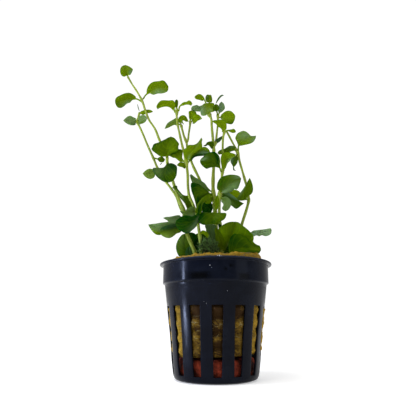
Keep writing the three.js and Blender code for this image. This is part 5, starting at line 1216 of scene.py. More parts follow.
def stem_material(plant):
    """Fresh stem: smooth and juicy, from deep green low in the bunch to yellow-green higher up as painted
    shade and light, with faint lengthwise streaks.
    """
    material, tree, place = new_material("fresh_stem")
    long = node(tree, "Mapping", {"Vector": place, "Scale": (1.0, 1.0, 0.18)}).outputs["Vector"]
    streak = noise(tree, long, 0.6, 3)
    change = ramp(tree, streak, 0.3, 0.7, -0.14, 0.14)
    tone = sums(tree, "ADD", carried(tree, "tone"), change, clamped=True)
    inputs = {
        "Base Color": blend(tree, tone, plant.stem_deep, plant.stem),
        "Normal": bump(tree, streak, 0.2, 0.1),
        "Roughness": 0.4,
        "Specular IOR Level": 0.14,
        "Subsurface Weight": 0.15,
        "Subsurface Radius": (0.8, 1.0, 0.2),
        "Subsurface Scale": 0.5 * MM,
    }
    return finished(material, inputs)


def moss_material(plant):
    """Wet moss with withered bits: dull, mottled from dark green to brown."""
    material, tree, place = new_material("wet_moss")
    share = ramp(tree, noise(tree, place, 1.2, 5), 0.42, 0.62)
    colour = blend(tree, share, plant.moss, plant.litter)
    return finished(material, {"Base Color": colour, "Roughness": 0.7, "Specular IOR Level": 0.25})


def wisp_material(plant):
    """Withered shoot tips: thin, dull and dark green."""
    material, tree, place = new_material("withered_shoot")
    colour = blend(tree, noise(tree, place, 1), plant.deep, plant.moss)
    return finished(material, {"Base Color": colour, "Roughness": 0.7, "Specular IOR Level": 0.2})


def lime_and_glint_material():
    """Dried lime and dust on the pot, and the painted glints on the rim: off-white and chalky."""
    material, tree, place = new_material("dried_lime")
    colour = blend(tree, noise(tree, place, 0.4), linear("#8d9096"), linear("#e6e8ea"))
    return finished(material, {"Base Color": colour, "Roughness": 0.6})


def floor_material(stage):
    """Translucent white board lit from below: pale and even, with a trace of roller texture.

    The glow is stronger to look at than as light, which lifts the soft shadow to white.
    """
    material, tree, place = new_material("lit_white_board")
    away = node(tree, "VectorMath", {0: place}, operation="LENGTH").outputs["Value"]
    glow = ramp(tree, away, GLOW_START, GLOW_END, stage.floor_glow, stage.back_glow)
    inputs = {
        "Base Color": stage.floor,
        "Emission Color": stage.floor,
        "Emission Strength": sums(tree, "MULTIPLY_ADD", is_seen(tree), stage.floor_lift, glow),
        "Normal": bump(tree, noise(tree, place, 4), 0.03, 0.1),
        "Roughness": 0.9,
    }
    return finished(material, inputs)


# Pot


def body_radius(height):
    """Outside radius of the pot's body at a height."""
    return np.interp(height, BODY_OUTLINE[:, 1], BODY_OUTLINE[:, 0])


def slot_width(height):
    """Width of a slot in the pot's wall at a height."""
    return np.interp(height, [SLOT_FOOT, SLOT_HEAD], [SLOT_FOOT_WIDTH, SLOT_HEAD_WIDTH])


def rows_at(radii, heights, slot=0):
    """Rows at radii and heights, with the number of the slot that passes through them."""
    radii, heights = np.broadcast_arrays(radii, heights)
    return np.stack([radii, heights, np.full(radii.shape, slot)], axis=1)


def pot_rows(pot):
    """Rows of the pot's skin from the middle of its foot, over the rim, to the middle of its floor.

    Each row is a radius, a height, and which slot passes through it: 0 none, 1 floor, 2 wall.
    """
    height, rim = pot.height / MM, pot.rim_radius / MM
    floor_slot = np.linspace(FLOOR_SLOT_START, FLOOR_SLOT_END, 6)
    wall_slot = np.linspace(SLOT_FOOT, SLOT_HEAD, 18)
    above = np.linspace(SLOT_HEAD, BAND_FOOT, 7)[1:]
    band = np.linspace(BAND_FOOT + STEP_HEIGHT, height - RIM_THICKNESS, 16)
    turn = np.linspace(-np.pi / 2, np.pi / 2, 9)
    half = RIM_THICKNESS / 2
    outer = [
        rows_at([POT_MIDDLE], 0),
        rows_at(floor_slot, 0, 1),
        rows_at(*BODY_OUTLINE[:3].T),
        rows_at(body_radius(wall_slot), wall_slot, 2),
        rows_at(body_radius(above), above),
        rows_at(BAND_RADIUS, band),
        rows_at(rim + RIM_ROUND * (np.cos(turn) - 1), height - half + half * np.sin(turn)),
        rows_at([BAND_RADIUS - WALL], height),
    ]
    inner = [
        rows_at(body_radius(above[::-1]) - WALL, above[::-1]),
        rows_at(body_radius(wall_slot[::-1]) - WALL, wall_slot[::-1], 2),
        rows_at([body_radius(FLOOR) - WALL], FLOOR),
        rows_at(floor_slot[::-1], FLOOR, 1),
        rows_at([POT_MIDDLE], FLOOR),
    ]
    return np.vstack(outer + inner)


def slot_edges(radius, height):
    """Half the angle that a slot takes at a radius and height: arcsine of half its width over the radius."""
    straight = np.arcsin(np.minimum(slot_width(height) / 2 / radius, 0.3))
    floor_angle = math.atan(SLOT_FOOT_WIDTH / 2 / body_radius(SLOT_FOOT))
    return np.where(height < SLOT_FOOT, floor_angle, straight)


def pot_surface(pot):
    """The pot's skin: radius and height follow the rows, and the angle's columns follow the slots' edges.

    In every pitch, some columns share out the slot and the rest the rib. Faces inside a slot are left
    out on both skins, and the slot's four sides join the outer skin to the inner one. The band and rim
    bow up at the front by the front's cosine to the power 1.5 and wave by a sine of twice the angle.
    Each stain is a flat-topped bell, exp(-(x^4 + z^4)), with x and z over its half sizes.
    """
    radius, height, passes = pot_rows(pot).T
    radius, tall = radius[:, None], height[:, None]
    in_slot, in_rib = 4, 6
    columns = in_slot + in_rib
    pitch = 2 * np.pi / SLOT_COUNT
    half = slot_edges(radius, tall)
    slot_part = half * np.linspace(-1, 1, in_slot + 1)
    rib_part = half + (pitch - 2 * half) * np.linspace(0, 1, in_rib + 1)[1:-1]
    one = np.concatenate([slot_part, rib_part], axis=1)
    first = math.radians(SLOT_FIRST_ANGLE) - np.pi / 2
    angle = (first + pitch * np.arange(SLOT_COUNT)[None, :, None] + one[:, None, :]).reshape(len(height), -1)
    front = -np.sin(angle)
    bow = pot.bow / MM * np.maximum(0, front) ** 1.5
    lift = smooth(tall, BAND_FOOT + 3, POT_HEAD) * (pot.warp / MM * np.sin(2 * angle + RIM_WAVE_START) + bow)
    face = radius * np.cos(angle)
    stains = [
        np.exp(-(((face - across) / reach) ** 4 + ((tall - up) / rise) ** 4))
        for across, up, reach, rise in POT_STAINS
    ]
    # Painted highlight: share of the rim sheen colour on the front of the rim's top; the band gets an even
    # small lift of it
    crust = smooth(tall, RIM_SHEEN_START, RIM_SHEEN_END) * (radius > BAND_RADIUS - WALL) * smooth(front, 0.5, 1)
    values = {"soaked": sum(stains) * (front > 0), "crust": np.maximum(crust, BAND_LIFT * (tall > BAND_FOOT))}
    rings = np.stack([face, radius * np.sin(angle), tall + lift], axis=-1)
    surface = skin(rings, np.zeros(3), np.array([0, 0, FLOOR]), values)
    around = SLOT_COUNT * columns
    open_rows = (passes[:-1] == passes[1:]) & (passes[:-1] > 0)
    is_open = open_rows[:, None] & (np.arange(around) % columns < in_slot)
    walls = [surface.quads[~is_open.ravel()]]
    slots = np.arange(SLOT_COUNT) * columns
    across_slot = (slots[:, None] + np.arange(in_slot)).ravel()
    for kind in (1, 2):
        at = np.flatnonzero(passes == kind)
        near, far = at[: len(at) // 2], at[len(at) // 2 :][::-1]
        for side in (0, in_slot):
            corners = (near[:-1], near[1:], far[1:], far[:-1])
            walls.append(np.stack([row[:, None] * around + slots + side for row in corners], axis=-1))
        for end in (0, -1):
            a, b = near[end] * around + across_slot, far[end] * around + across_slot
            walls.append(np.stack([a, a + 1, b + 1, b], axis=-1))
    surface.quads = np.vstack([quad.reshape(-1, 4) for quad in walls])
    return surface


def turn_faces_out(piece):
    """Make the faces of a closed piece agree and point outwards."""
    shape = bmesh.new()
    shape.from_mesh(piece.data)
    bmesh.ops.recalc_face_normals(shape, faces=shape.faces)
    shape.to_mesh(piece.data)
    shape.free()


class JENNY_OT_net_pot(bpy.types.Operator):
    """Build the slotted net pot as one moulding"""

    bl_idname = "jenny.net_pot"
    bl_label = "Net pot"

    def execute(self, context):
        pot = context.scene.jenny_pot
        plastic = pot_material(pot)
        piece = put_piece("net_pot_moulding", pot_surface(pot), ["net_pot"], [plastic])
        turn_faces_out(piece)
        edges = piece.modifiers.new("edges", "BEVEL")
        edges.width = pot.edge_round
        edges.segments = 2
        edges.limit_method = "ANGLE"
        edges.angle_limit = math.radians(35)
        return {"FINISHED"}


def ball(rows, columns, gap):
    """Angles from the top and angles round for the rings of a ball, with a gap left at both poles."""
    return np.meshgrid(np.linspace(gap, np.pi - gap, rows), circle(columns), indexing="ij")


def lime_and_glint_spot(turn, height, radius, seed):
    """A flattened crumb: a sphere's rings, pressed to a third along the pot's normal and roughened."""
    angle = math.radians(turn) - np.pi / 2
    out = np.array([math.cos(angle), math.sin(angle), 0])
    aside = np.array([-out[1], out[0], 0])
    up = np.array([0, 0, 1.0])
    centre = out * np.interp(height, LIME_REACH[:, 1], LIME_REACH[:, 0]) + up * height

    def place(p, a):
        """The crumb's points at angles from the top and round."""
        p, a = np.asarray(p)[..., None], np.asarray(a)[..., None]
        flat = np.sin(p) * (np.cos(a) * aside + LIME_TALL * np.sin(a) * up)
        shape = radius * (flat + LIME_FLAT * np.cos(p) * out)
        return centre + shape * (1 + 0.2 * ripple(shape, 0.4, seed)[..., None])

    return skin(place(*ball(7, 10, 0.2)), place(0.0, 0.0), place(np.pi, 0.0))


class JENNY_OT_lime_and_glints(bpy.types.Operator):
    """Build the crumbs of dried lime on the pot, and those on the rim's front that paint its glints"""

    bl_idname = "jenny.lime"
    bl_label = "Lime spots"

    def execute(self, context):
        spots = [lime_and_glint_spot(*spot, seed) for seed, spot in enumerate(LIME_AND_GLINT_SPOTS)]
        put_piece("lime_spots", joined(spots), [], [lime_and_glint_material()])
        return {"FINISHED"}


# Filling


def rolls(height, filling):
    """1 on the crest of each roll of the wool and -1 in the folds between: a cosine of the height."""
    return np.cos(2 * np.pi * (height - WOOL_ROLL_CREST) / (filling.roll_height / MM))


def wool_place(angle, along, filling):
    """Point of the plug's skin at an angle from the front, to the right, and a share of its outline.

    The outline runs from the middle of the foot, up the wall and over the crown. The wall swells at
    each roll by depth times the cosine of the height over the roll's height, and into every slot by a
    bell curve across the slot. The crown rises to the right.
    """
    lengths = np.concatenate([[0], np.cumsum(np.linalg.norm(np.diff(WOOL_OUTLINE, axis=0), axis=1))])
    radius, height = (np.interp(along * lengths[-1], lengths, column) for column in WOOL_OUTLINE.T)
    wall = smooth(height, WOOL_FOOT, WOOL_FOOT + 2) * (1 - smooth(height, *WOOL_SHOULDER))
    wall = wall * (radius > WOOL_WALL_START)
    wander = ROLL_WANDER * np.sin(angle * 2 + 1) + ROLL_WANDER * np.sin(angle * 5)
    aside = np.abs(np.sin(angle)) ** 3
    roll = rolls(height + wander, filling) * (1 - ROLL_FADE * aside)
    pitch = 2 * np.pi / SLOT_COUNT
    from_slot = (angle - math.radians(SLOT_FIRST_ANGLE) + pitch / 2) % pitch - pitch / 2
    in_slot = np.exp(-((from_slot * radius / (WOOL_SLOT_FILL * slot_width(height) / 2)) ** 4))
    in_slot = in_slot * (1 - smooth(height, SLOT_HEAD - 1.5, SLOT_HEAD + 0.5))
    in_slot = in_slot * smooth(height, WOOL_FOOT, WOOL_FOOT + 2.5)
    tuft = WOOL_TUFT_DEPTH * np.exp(-(((np.degrees(angle) - WOOL_TUFT_ANGLE) / WOOL_TUFT_SPREAD) ** 2))
    bulge = in_slot * (WOOL_SLOT_BULGE + WOOL_SIDE_BULGE * aside + tuft + ROLL_IN_SLOT * roll)
    radius = radius + wall * (bulge + filling.roll_depth / MM * (roll - 1) / 2 - WOOL_SLACK)
    across, behind = radius * np.sin(angle), -radius * np.cos(angle)
    crown = smooth(height, WOOL_CROWN_FOOT, WOOL_CROWN_FOOT + 6) * np.interp(across, *WOOL_CROWN.T)
    foot = (1 - smooth(height, WOOL_FOOT, WOOL_FOOT + 6)) * (WOOL_FOOT_RISE + WOOL_FOOT_SLOPE * across)
    return np.stack([across, behind, height + crown + foot], axis=-1)


def wool_surface(filling):
    """The plug's skin: its points, pushed out and in by three sizes of noise, least where the wall is near.

    It also carries how dark the wool is: its dampness, with painted shade most at the front under the crown
    and in the folds, painted light on the sides and the rolls' crests, raised tufts lighter, and the crown
    darker towards its middle.
    """
    along = np.linspace(WOOL_POLE_GAP, 1 - WOOL_POLE_GAP, WOOL_GRID[0])[:, None]
    angle = circle(WOOL_GRID[1])[None] - np.pi
    points = wool_place(np.broadcast_to(angle, WOOL_GRID), np.broadcast_to(along, WOOL_GRID), filling)
    rough = sum(
        share * ripple(points * np.array([1, 1, flatness]), size * filling.tuft / MM, seed)
        for share, size, flatness, seed in WOOL_NOISE
    )
    free = WOOL_ROUGHNESS + CROWN_ROUGHNESS * smooth(points[..., 2], 48, 52)
    out = unit(points * np.array([1, 1, 0]) + np.array([0, 0, 0.001]))
    up = smooth(points[..., 2], 51, 53.5)[..., None] * np.array([0, 0, 1.0])
    points = points + (rough * free)[..., None] * (out * (1 - 0.5 * up[..., 2:]) + up)
    height = points[..., 2]
    reach = np.linalg.norm(points[..., :2], axis=-1)
    side = np.sin(angle) ** 2
    front = 1 - side
    # Painted light on the sides and the rolls' crests, painted shade in the folds and at the front middle;
    # raised tufts lighter
    wet = 1 - PAINTED_SIDE_LIGHT * side - PAINTED_CREST_LIGHT * rolls(height, filling) * front - TUFT_LIGHTENING * rough
    wet = wet + PAINTED_FRONT_SHADE * smooth(height, 25, 30) * front * (1 - smooth(height, 40, 50))
    wet = np.where(height > 45, CROWN_DARKENING + CROWN_MIDDLE_DARKENING * (1 - smooth(reach, 8, 18)), wet)
    start, end = points[[0, -1]].mean(axis=1)
    return skin(points, start, end, {"wet": wet})


def wool_fibres(filling):
    """Loose fibres, each from a random place on the plug's skin, mostly round it, and lifted in the middle.

    Most lie on the crests of the rolls low on the wall, and on the crown.
    """
    draw = np.random.default_rng(FIBRE_SEED)
    count = filling.fibre_count
    angle = draw.uniform(-np.pi, np.pi, count)
    along = draw.uniform(*FIBRE_SPAN, count)
    length = draw.uniform(*FIBRE_LENGTH, count)
    tilt = draw.normal(0, FIBRE_TILT, count)
    step = np.linspace(-0.5, 0.5, 6)[None]
    bend = draw.normal(0, 0.3, count)[:, None] * (step**2) * 4
    turn = angle[:, None] + (length * np.cos(tilt) / WOOL_RADIUS)[:, None] * step
    rise = along[:, None] + (length * np.sin(tilt) / WOOL_REACH)[:, None] * step + bend / WOOL_REACH
    paths = wool_place(turn, rise, filling)
    height = paths[..., 2].mean(axis=1)
    crest = 0.5 + 0.5 * rolls(height, filling)
    chance = np.where(height > FIBRE_CROWN, 1, (0.15 + 0.85 * crest**4) * (1 - smooth(height, *FIBRE_END)))
    kept = draw.uniform(0, 1, count) < chance
    count, paths = int(kept.sum()), paths[kept]
    paths = paths + 0.05 * ripple(paths, 2.5, FIBRE_WAVE_SEED)[..., None]
    free = 0.05 + 0.3 * smooth(paths[..., 2], 50, 54)
    lift = draw.uniform(0, 1, count)[:, None] * np.cos(np.pi * step) * free
    paths = paths + unit(paths * np.array([1, 1, 0])) * (lift + 0.04)[..., None]
    return strands(paths, filling.fibre_radius / MM * draw.uniform(0.5, 1.2, count))


class JENNY_OT_rock_wool(bpy.types.Operator):
    """Build the rock wool plug with its rolls, tufts and loose fibres"""

    bl_idname = "jenny.rock_wool"
    bl_label = "Rock wool"

    def execute(self, context):
        filling = context.scene.jenny_filling
        wool, fibre = wool_material(filling), fibre_material(filling)
        put_piece("rock_wool_roll", wool_surface(filling), ["rock_wool_plug"], [wool])
        put_piece("rock_wool_fibres", wool_fibres(filling), [], [fibre])
        return {"FINISHED"}


def clay_surface(filling):
    """A disc whose wall and faces meet in quarter rounds, worn in by grains and by shallow pits."""
    foot = FLOOR + CLAY_GAP
    quarter = np.linspace(0, np.pi / 2, 7)
    out, rise = CLAY_ROUND * np.sin(quarter), CLAY_ROUND * (1 - np.cos(quarter))
    inner = CLAY_RADIUS - CLAY_ROUND
    low = np.stack([inner + out, foot + rise], axis=1)
    high = np.stack([inner + out, CLAY_HEAD - rise], axis=1)[::-1]
    face = np.linspace([1, foot], low[0], 20)[:-1]
    wall = np.linspace(low[-1], high[0], 16)[1:-1]
    back = np.linspace(high[-1], [1, CLAY_HEAD], 20)[1:]
    radius, height = np.vstack([face, low, wall, high, back]).T[..., None]
    angle = circle(CLAY_COLUMNS)
    across, behind = radius * np.sin(angle), -radius * np.cos(angle)
    points = np.stack([across, behind, np.broadcast_to(height, across.shape)], axis=-1)
    grain = filling.grain / MM
    grains, pits = CLAY_SEEDS
    worn = GRAIN_DEPTH * (1 + ripple(points, grain, grains))
    worn = worn + PIT_DEPTH * np.maximum(ripple(points, PIT_SIZE * grain, pits), 0)
    centre = np.array([0, 0, (foot + CLAY_HEAD) / 2])
    points = points - worn[..., None] * unit((points - centre) * np.array([0.3, 0.3, 1.6]))
    return skin(points, np.array([0, 0, foot + 0.1]), np.array([0, 0, CLAY_HEAD - 0.1]))


class JENNY_OT_clay_weight(bpy.types.Operator):
    """Build the disc of fired clay that weighs the pot down"""

    bl_idname = "jenny.clay_weight"
    bl_label = "Clay weight"

    def execute(self, context):
        filling = context.scene.jenny_filling
        clay = clay_material(filling)
        put_piece("clay_disc", clay_surface(filling), ["clay_weight"], [clay])
        return {"FINISHED"}


# Plant


def centreline(stem):
    """Closely spaced places along the middle of a stem."""
    return spline(seen(stem.path), np.linspace(0, 1, 401))[0]


def nearest(line, place):
    """The place on a line of points that is nearest to another."""
    return line[np.argmin(np.linalg.norm(line - place, axis=1))]


def carrier(key):
    """Name of the stem that a leaf grows on: its first letter, or the fork that its name begins with."""
    if key.startswith("f_"):
        return "e_fork"
    return "d_fork" if key.startswith("d_fork") else key[0]


def led_in(rows, count=3):
    """What goes with each place of a path, with the first repeated for the places that lead up to it."""
    return np.concatenate([np.repeat(rows[:1], count, axis=0), rows])


def stem_surface(key, joints):
    """Skin of a stem: a circle with four soft ridges carried along its path.

    The radius runs from the root's to the tip's and grows at every joint by a bell curve. A fork starts
    inside its parent.
    """
    stem = STEMS[key]
    path = seen(stem.path)
    length = np.linalg.norm(np.diff(path, axis=0), axis=1).sum()
    share = np.linspace(0, 1, int(length / STEM_STEP))
    centre, along = spline(path, share)
    right, front = across_frame(centre, along)
    radius = stem.root + (stem.tip - stem.root) * share
    for joint in joints:
        radius = radius + NODE_SWELL * np.exp(-(np.linalg.norm(centre - joint, axis=1) / NODE_REACH) ** 2)
    radius = radius * (1 + 0.05 * ripple(centre, 5, STEM_SEEDS[0]))
    end = radius[-1]
    centre = np.vstack([centre, centre[-1] + along[-1] * np.array([0.35, 0.6])[:, None] * end])
    right, front = (np.vstack([way, way[-1], way[-1]]) for way in (right, front))
    radius = np.concatenate([radius, [0.85 * end, 0.5 * end]])
    if key in FORKS:
        root = nearest(centreline(STEMS[FORKS[key]]), centre[0] - FORK_DROP * along[0])
        step = np.array([0.0, 0.4, 0.75])[:, None]
        centre = np.vstack([root + (centre[0] - root) * step, centre])
        right, front, radius = led_in(right), led_in(front), led_in(radius)
        radius[:2] *= 0.8, 0.95
    turn = circle(STEM_SIDES)
    ridged = (radius[:, None] * (1 + 0.06 * np.cos(4 * turn)))[..., None]
    ways = np.cos(turn)[:, None] * right[:, None] + np.sin(turn)[:, None] * front[:, None]
    rings = centre[:, None] + ridged * ways
    shape = rings.shape[:2]
    tone = STEM_TONE + STEM_VARIES * ripple(rings, 9, STEM_SEEDS[1])
    # Painted shade and light: stems darker low in the bunch and lighter higher up
    values = {
        "tone": tone + STEM_PAINTED_LIGHT * smooth(rings[..., 2], *STEM_LIGHT_HEIGHTS),
        "bloom": np.zeros(shape),
        "u": np.broadcast_to(turn / (2 * np.pi), shape),
        "v": np.broadcast_to(np.linspace(0, 1, shape[0])[:, None], shape),
    }
    tip = centre[-1] + (centre[-1] - centre[-2]) * 0.6
    return skin(rings, centre[0] + (centre[0] - centre[1]) * 0.3, tip, values)


def leaf_surface(leaf, root, plant, seed, kind=0):
    """Skin of a leaf on its stalk, from inside its stem to its tip.

    At share v of the blade each edge lies at share v of its own curve's length, at the rib's depth. A
    ring's point at round angle r lies s = cos r of the way from the rib to the edge and sin r through
    the blade. Towards the eye go, as heights: the fold, half * |s| * tan(fold); a dome, half * sin(pi
    |s|); a wave at the edge, half * s^2 * sin(2 pi ripples v); a groove along the rib; and a dent at
    every side vein, where v - slope |s| passes a whole number over the count of pairs.
    """
    draw = np.random.default_rng(seed)
    path = seen(leaf.path)
    spread = (1 - np.cos(np.pi * np.arange(BLADE_STATIONS + 1) / BLADE_STATIONS)) / 2
    spread = BLADE_END_GAP + (1 - 2 * BLADE_END_GAP) * spread
    stalk = leaf.stalk * np.linspace(0, 1, STALK_STATIONS, endpoint=False)
    t = np.concatenate([stalk, leaf.stalk + (1 - leaf.stalk) * spread])
    share = np.maximum(0, (t - leaf.stalk) / (1 - leaf.stalk))
    centre, along = spline(path, t)
    right, front = across_frame(centre, along)
    rib = spline(np.asarray(leaf.path, float), t)[0]
    start, tip = rib[STALK_STATIONS, :2], rib[-1, :2]
    ways = []
    for hand, points in ((-1, leaf.left), (1, leaf.right)):
        edge = evenly(np.vstack([start, points, tip]), share)
        way = (seen(np.column_stack([edge, rib[:, 2]])) - centre) * (share > 0)[:, None]
        ways.append(way + right * hand * (STALK_RADIUS * (1 - share))[:, None])
    step = np.array([0.0, 0.35, 0.7])[:, None]
    centre = np.vstack([root + (centre[0] - root) * step, centre])
    right, front, to_left, to_right = (led_in(way)[:, None] for way in (right, front, *ways))
    share = led_in(share)[:, None]
    turn = circle(BLADE_SIDES)[None]
    s, up = np.cos(turn), np.sin(turn)
    off_rib = np.abs(s)
    flat = smooth(share, 0, 0.1)
    side_way = np.where((s > 0)[..., None], to_right, to_left)
    half = np.linalg.norm(side_way, axis=-1)
    gone = np.sqrt(s**2 + RIB_ROUND**2)
    fold = np.radians(leaf.fold) * flat
    blade = plant.blade / MM / 2 * (1 - EDGE_THINNING * s**2)
    thick = STALK_RADIUS * (1 - flat) + blade * flat
    phase = draw.uniform(0, 2 * np.pi) + np.where(s > 0, 0, WAVE_SHIFT)
    edge_wave = leaf.wave * s**2 * np.sin(2 * np.pi * leaf.ripples * share + phase)
    vein = (0.5 + 0.5 * np.cos(2 * np.pi * plant.vein_pairs * (share - VEIN_SLOPE * off_rib))) ** 4
    dent = plant.pucker / MM * vein * (1 - s**4) * smooth(off_rib, 0.02, 0.2)
    groove = GROOVE_DEPTH * np.exp(-((s * half / GROOVE_REACH) ** 2))
    lift = flat * (half * (leaf.dome * np.sin(np.pi * off_rib) + edge_wave) - dent - groove)
    forward = half * (gone - RIB_ROUND) * np.tan(fold) + lift
    across = -np.sin(fold) * (s / gone) * thick * up
    through = np.cos(fold) * thick * up
    to_eye = unit(EYE - centre)[:, None]
    rings = centre[:, None] + off_rib[..., None] * side_way + forward[..., None] * to_eye
    rings = rings + across[..., None] * right + through[..., None] * front
    tone = leaf.tone + STALK_PALE * (1 - smooth(share, 0, 0.12)) + draw.uniform(-TONE_SPREAD, TONE_SPREAD)
    tone = tone - EDGE_DARK * flat * smooth(off_rib, 0.78, 1)
    # The pale share: painted sheen, plus the blade's own paler underside
    bloom = leaf.bloom + UNDER_PALLOR * smooth(-up, 0, 0.4)
    # Each patch paints shade or light onto the tone, or painted sheen onto the pale share; a few give the
    # blade's own tone
    for v, across_at, reach, more_tone, more_sheen in leaf.light_and_tone_marks:
        patch = np.exp(-((share - v) ** 2 + (0.5 * (s - across_at)) ** 2) / reach**2)
        tone, bloom = tone + more_tone * patch, bloom + more_sheen * patch
    shape = rings.shape[:2]
    values = {
        "tone": np.clip(tone, 0, 1.2),
        "bloom": np.clip(bloom * flat, 0, 1),
        "u": np.broadcast_to((s + 1) / 2, shape),
        "v": np.broadcast_to(share, shape),
    }
    return skin(rings, root, spline(path, np.array([1.0]))[0][0], values, kind)


class JENNY_OT_stems(bpy.types.Operator):
    """Build the nine stems, each with its joints and its young leaves"""

    bl_idname = "jenny.stems"
    bl_label = "Stems"

    def execute(self, context):
        plant = context.scene.jenny_plant
        finishes = [stem_material(plant), leaf_material(plant)]
        for key, stem in STEMS.items():
            line = centreline(stem)
            starts = [leaf.path[0] for name, leaf in LEAVES.items() if carrier(name) == key]
            starts += [bud.path[0] for carried_by, bud in BUDS if carried_by == key]
            starts += [STEMS[fork].path[0] for fork, parent in FORKS.items() if parent == key]
            joints = [nearest(line, place) for place in seen(starts)] if starts else []
            surfaces = [stem_surface(key, joints)]
            for seed, (carried_by, bud) in enumerate(BUDS, BUD_SEED):
                if carried_by == key:
                    root = nearest(line, seen(bud.path)[0])
                    surfaces.append(leaf_surface(bud, root, plant, seed, kind=1))
            put_piece(f"stem_{key}_grown", joined(surfaces), [f"stem_{key}"], finishes)
        return {"FINISHED"}


class JENNY_OT_leaves(bpy.types.Operator):
    """Build the leaves, each as a blade on its stalk"""

    bl_idname = "jenny.leaves"
    bl_label = "Leaves"

    def execute(self, context):
        plant = context.scene.jenny_plant
        skin_of_leaf = leaf_material(plant)
        for seed, (key, leaf) in enumerate(LEAVES.items(), LEAF_SEED):
            root = nearest(centreline(STEMS[carrier(key)]), seen(leaf.path)[0])
            blade = leaf_surface(leaf, root, plant, seed)
            put_piece(f"leaf_{key}_blade", blade, [f"leaf_{key}"], [skin_of_leaf])
        return {"FINISHED"}


def foot_leaves(plant):
    """The leaves at the foot, each on a short stalk out of the wool, from a millimetre under its path."""
    return [
        leaf_surface(leaf, seen(leaf.path)[0] - np.array([0, 0, 1]), plant, seed)
        for seed, leaf in enumerate(FOOT_LEAVES, FOOT_SEED)
    ]


def moss_surface():
    """A mound of short curved leaflets. Each starts on an ellipsoid and leaves it outwards, bending up."""
    draw = np.random.default_rng(MOSS_SEED)
    count = MOSS_COUNT
    way = unit(draw.normal(size=(count, 3)) + np.array([0, -0.4, 0.2]))
    start = MOSS_PLACE + way * MOSS_REACH * draw.uniform(0.55, 1, (count, 1))
    length = draw.uniform(0.5, 1.5, count)[:, None, None]
    step = np.linspace(0, 1, 5)[None, :, None]
    lean = draw.normal(0, 0.5, (count, 1, 3)) + np.array([0, 0, 0.3])
    paths = start[:, None] + length * (way[:, None] * step + lean * step**2)
    return strands(paths, draw.uniform(0.1, 0.24, count), 4)


def moss_core():
    """The clump's inside: an ellipsoid with a lumpy skin."""
    polar, around = ball(40, 60, 0.1)
    way = np.stack([np.sin(polar) * np.cos(around), np.sin(polar) * np.sin(around), np.cos(polar)], axis=-1)
    lumps = 1 + 0.14 * ripple(way * 4, 2.5, MOSS_CORE_SEED)[..., None]
    points = MOSS_PLACE + way * MOSS_REACH * 0.85 * lumps
    return skin(points, points[0].mean(axis=0), points[-1].mean(axis=0))


def wisp(radius, path):
    """A dry wisp: one strand along its path."""
    return strands(spline(seen(path), np.linspace(0, 1, 14))[0][None], np.array([radius]), 6)


class JENNY_OT_moss(bpy.types.Operator):
    """Build the mossy clump and the leaves at the foot of the stems, and the dry wisps on them"""

    bl_idname = "jenny.moss"
    bl_label = "Moss, foot leaves and wisps"

    def execute(self, context):
        plant = context.scene.jenny_plant
        wisps = [wisp(radius, path) for radius, path in WISPS]
        put_piece("moss_clump", joined([moss_core(), moss_surface()]), [], [moss_material(plant)])
        put_piece("foot_leaves", joined(foot_leaves(plant)), [], [leaf_material(plant)])
        put_piece("dry_wisps", joined(wisps), [], [wisp_material(plant)])
        return {"FINISHED"}


# Stage


def soft_light(name, power, size, place, target, colour):
    """A rectangular area light that looks at a target."""
    data = bpy.data.lights.new(name, "AREA")
    data.energy = power
    data.shape = "RECTANGLE"
    data.size, data.size_y = size
    data.color = linear(colour)[:3]
    light = bpy.data.objects.new(name, data)
    light.location = place
    light.rotation_euler = (Vector(target) - Vector(place)).to_track_quat("-Z", "Y").to_euler()
    bpy.context.scene.collection.objects.link(light)


def surroundings(stage):
    """White to look at. As light it is dim from the front, where the photographer stands, and full behind."""
    world = bpy.data.worlds.new("white_surroundings")
    world.use_nodes = True
    tree = world.node_tree
    way = node(tree, "TexCoord").outputs["Generated"]
    behind = node(tree, "SeparateXYZ", {"Vector": way}).outputs["Y"]
    light = ramp(tree, behind, -1, 0.3, SKY_FRONT * stage.sky, stage.sky)
    strength = node(tree, "Mix", {0: is_seen(tree), 2: light, 3: stage.sky_seen}, data_type="FLOAT")
    fill(tree, tree.nodes["Background"], {"Color": linear("#ffffff"), "Strength": strength.outputs[0]})
    return world


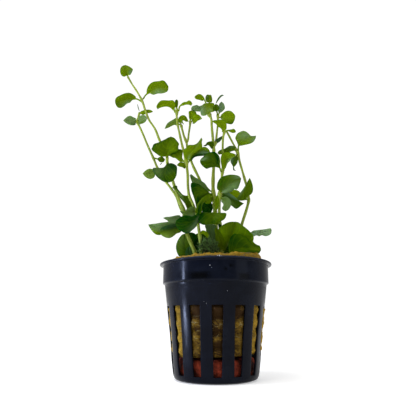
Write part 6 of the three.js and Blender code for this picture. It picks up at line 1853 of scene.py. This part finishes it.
class JENNY_OT_stage(bpy.types.Operator):
    """Set up the camera, the lights, the white surroundings and the floor"""

    bl_idname = "jenny.stage"
    bl_label = "Stage"

    def execute(self, context):
        scene = context.scene
        stage = scene.jenny_stage
        data = bpy.data.cameras.new("camera")
        data.sensor_width = SENSOR_WIDTH
        data.lens = stage.lens
        data.clip_start, data.clip_end = CLIP
        camera = bpy.data.objects.new("camera", data)
        camera.location = EYE * MM
        camera.rotation_euler = (math.pi / 2 + stage.pitch, 0, 0)
        scene.collection.objects.link(camera)
        scene.camera = camera
        for name, (power, *rest) in LIGHTS.items():
            soft_light(name, getattr(stage, power), *rest)
        scene.world = surroundings(stage)
        scene.view_settings.view_transform = "Standard"
        mesh = bpy.data.meshes.new("floor")
        half = FLOOR_HALF
        corners = [(-half, -half, 0), (half, -half, 0), (half, half, 0), (-half, half, 0)]
        mesh.from_pydata(corners, [], [(0, 1, 2, 3)])
        mesh.materials.append(floor_material(stage))
        board = bpy.data.objects.new("floor", mesh)
        scene.collection.objects.link(board)
        return {"FINISHED"}


# Add-on


STEPS = (
    JENNY_OT_net_pot, JENNY_OT_lime_and_glints, JENNY_OT_clay_weight, JENNY_OT_rock_wool, JENNY_OT_stems,
    JENNY_OT_leaves, JENNY_OT_moss, JENNY_OT_stage,
)
SETTINGS = {
    "jenny_pot": PotSettings,
    "jenny_filling": FillingSettings,
    "jenny_plant": PlantSettings,
    "jenny_stage": StageSettings,
}


class JENNY_PT_panel(bpy.types.Panel):
    """Settings of the plant, with a button for each step"""

    bl_idname = "JENNY_PT_panel"
    bl_label = "Creeping jenny"
    bl_space_type = "VIEW_3D"
    bl_region_type = "UI"
    bl_category = "Creeping jenny"

    def draw(self, context):
        for name, group in SETTINGS.items():
            box = self.layout.box()
            settings = getattr(context.scene, name)
            for prop in group.__annotations__:
                box.prop(settings, prop)
        for step in STEPS:
            self.layout.operator(step.bl_idname)


def register():
    """Add the settings, the steps and the panel to Blender."""
    for group in (*SETTINGS.values(), *STEPS, JENNY_PT_panel):
        bpy.utils.register_class(group)
    for name, group in SETTINGS.items():
        setattr(bpy.types.Scene, name, PointerProperty(type=group))


def unregister():
    """Take them all away again."""
    for name in SETTINGS:
        delattr(bpy.types.Scene, name)
    for group in (JENNY_PT_panel, *reversed(STEPS), *reversed(SETTINGS.values())):
        bpy.utils.unregister_class(group)


def main():
    """Build every piece and the stage."""
    register()
    build = bpy.ops.jenny
    build.net_pot()
    build.lime()
    build.clay_weight()
    build.rock_wool()
    build.stems()
    build.leaves()
    build.moss()
    build.stage()


if __name__ == "__main__":
    main()
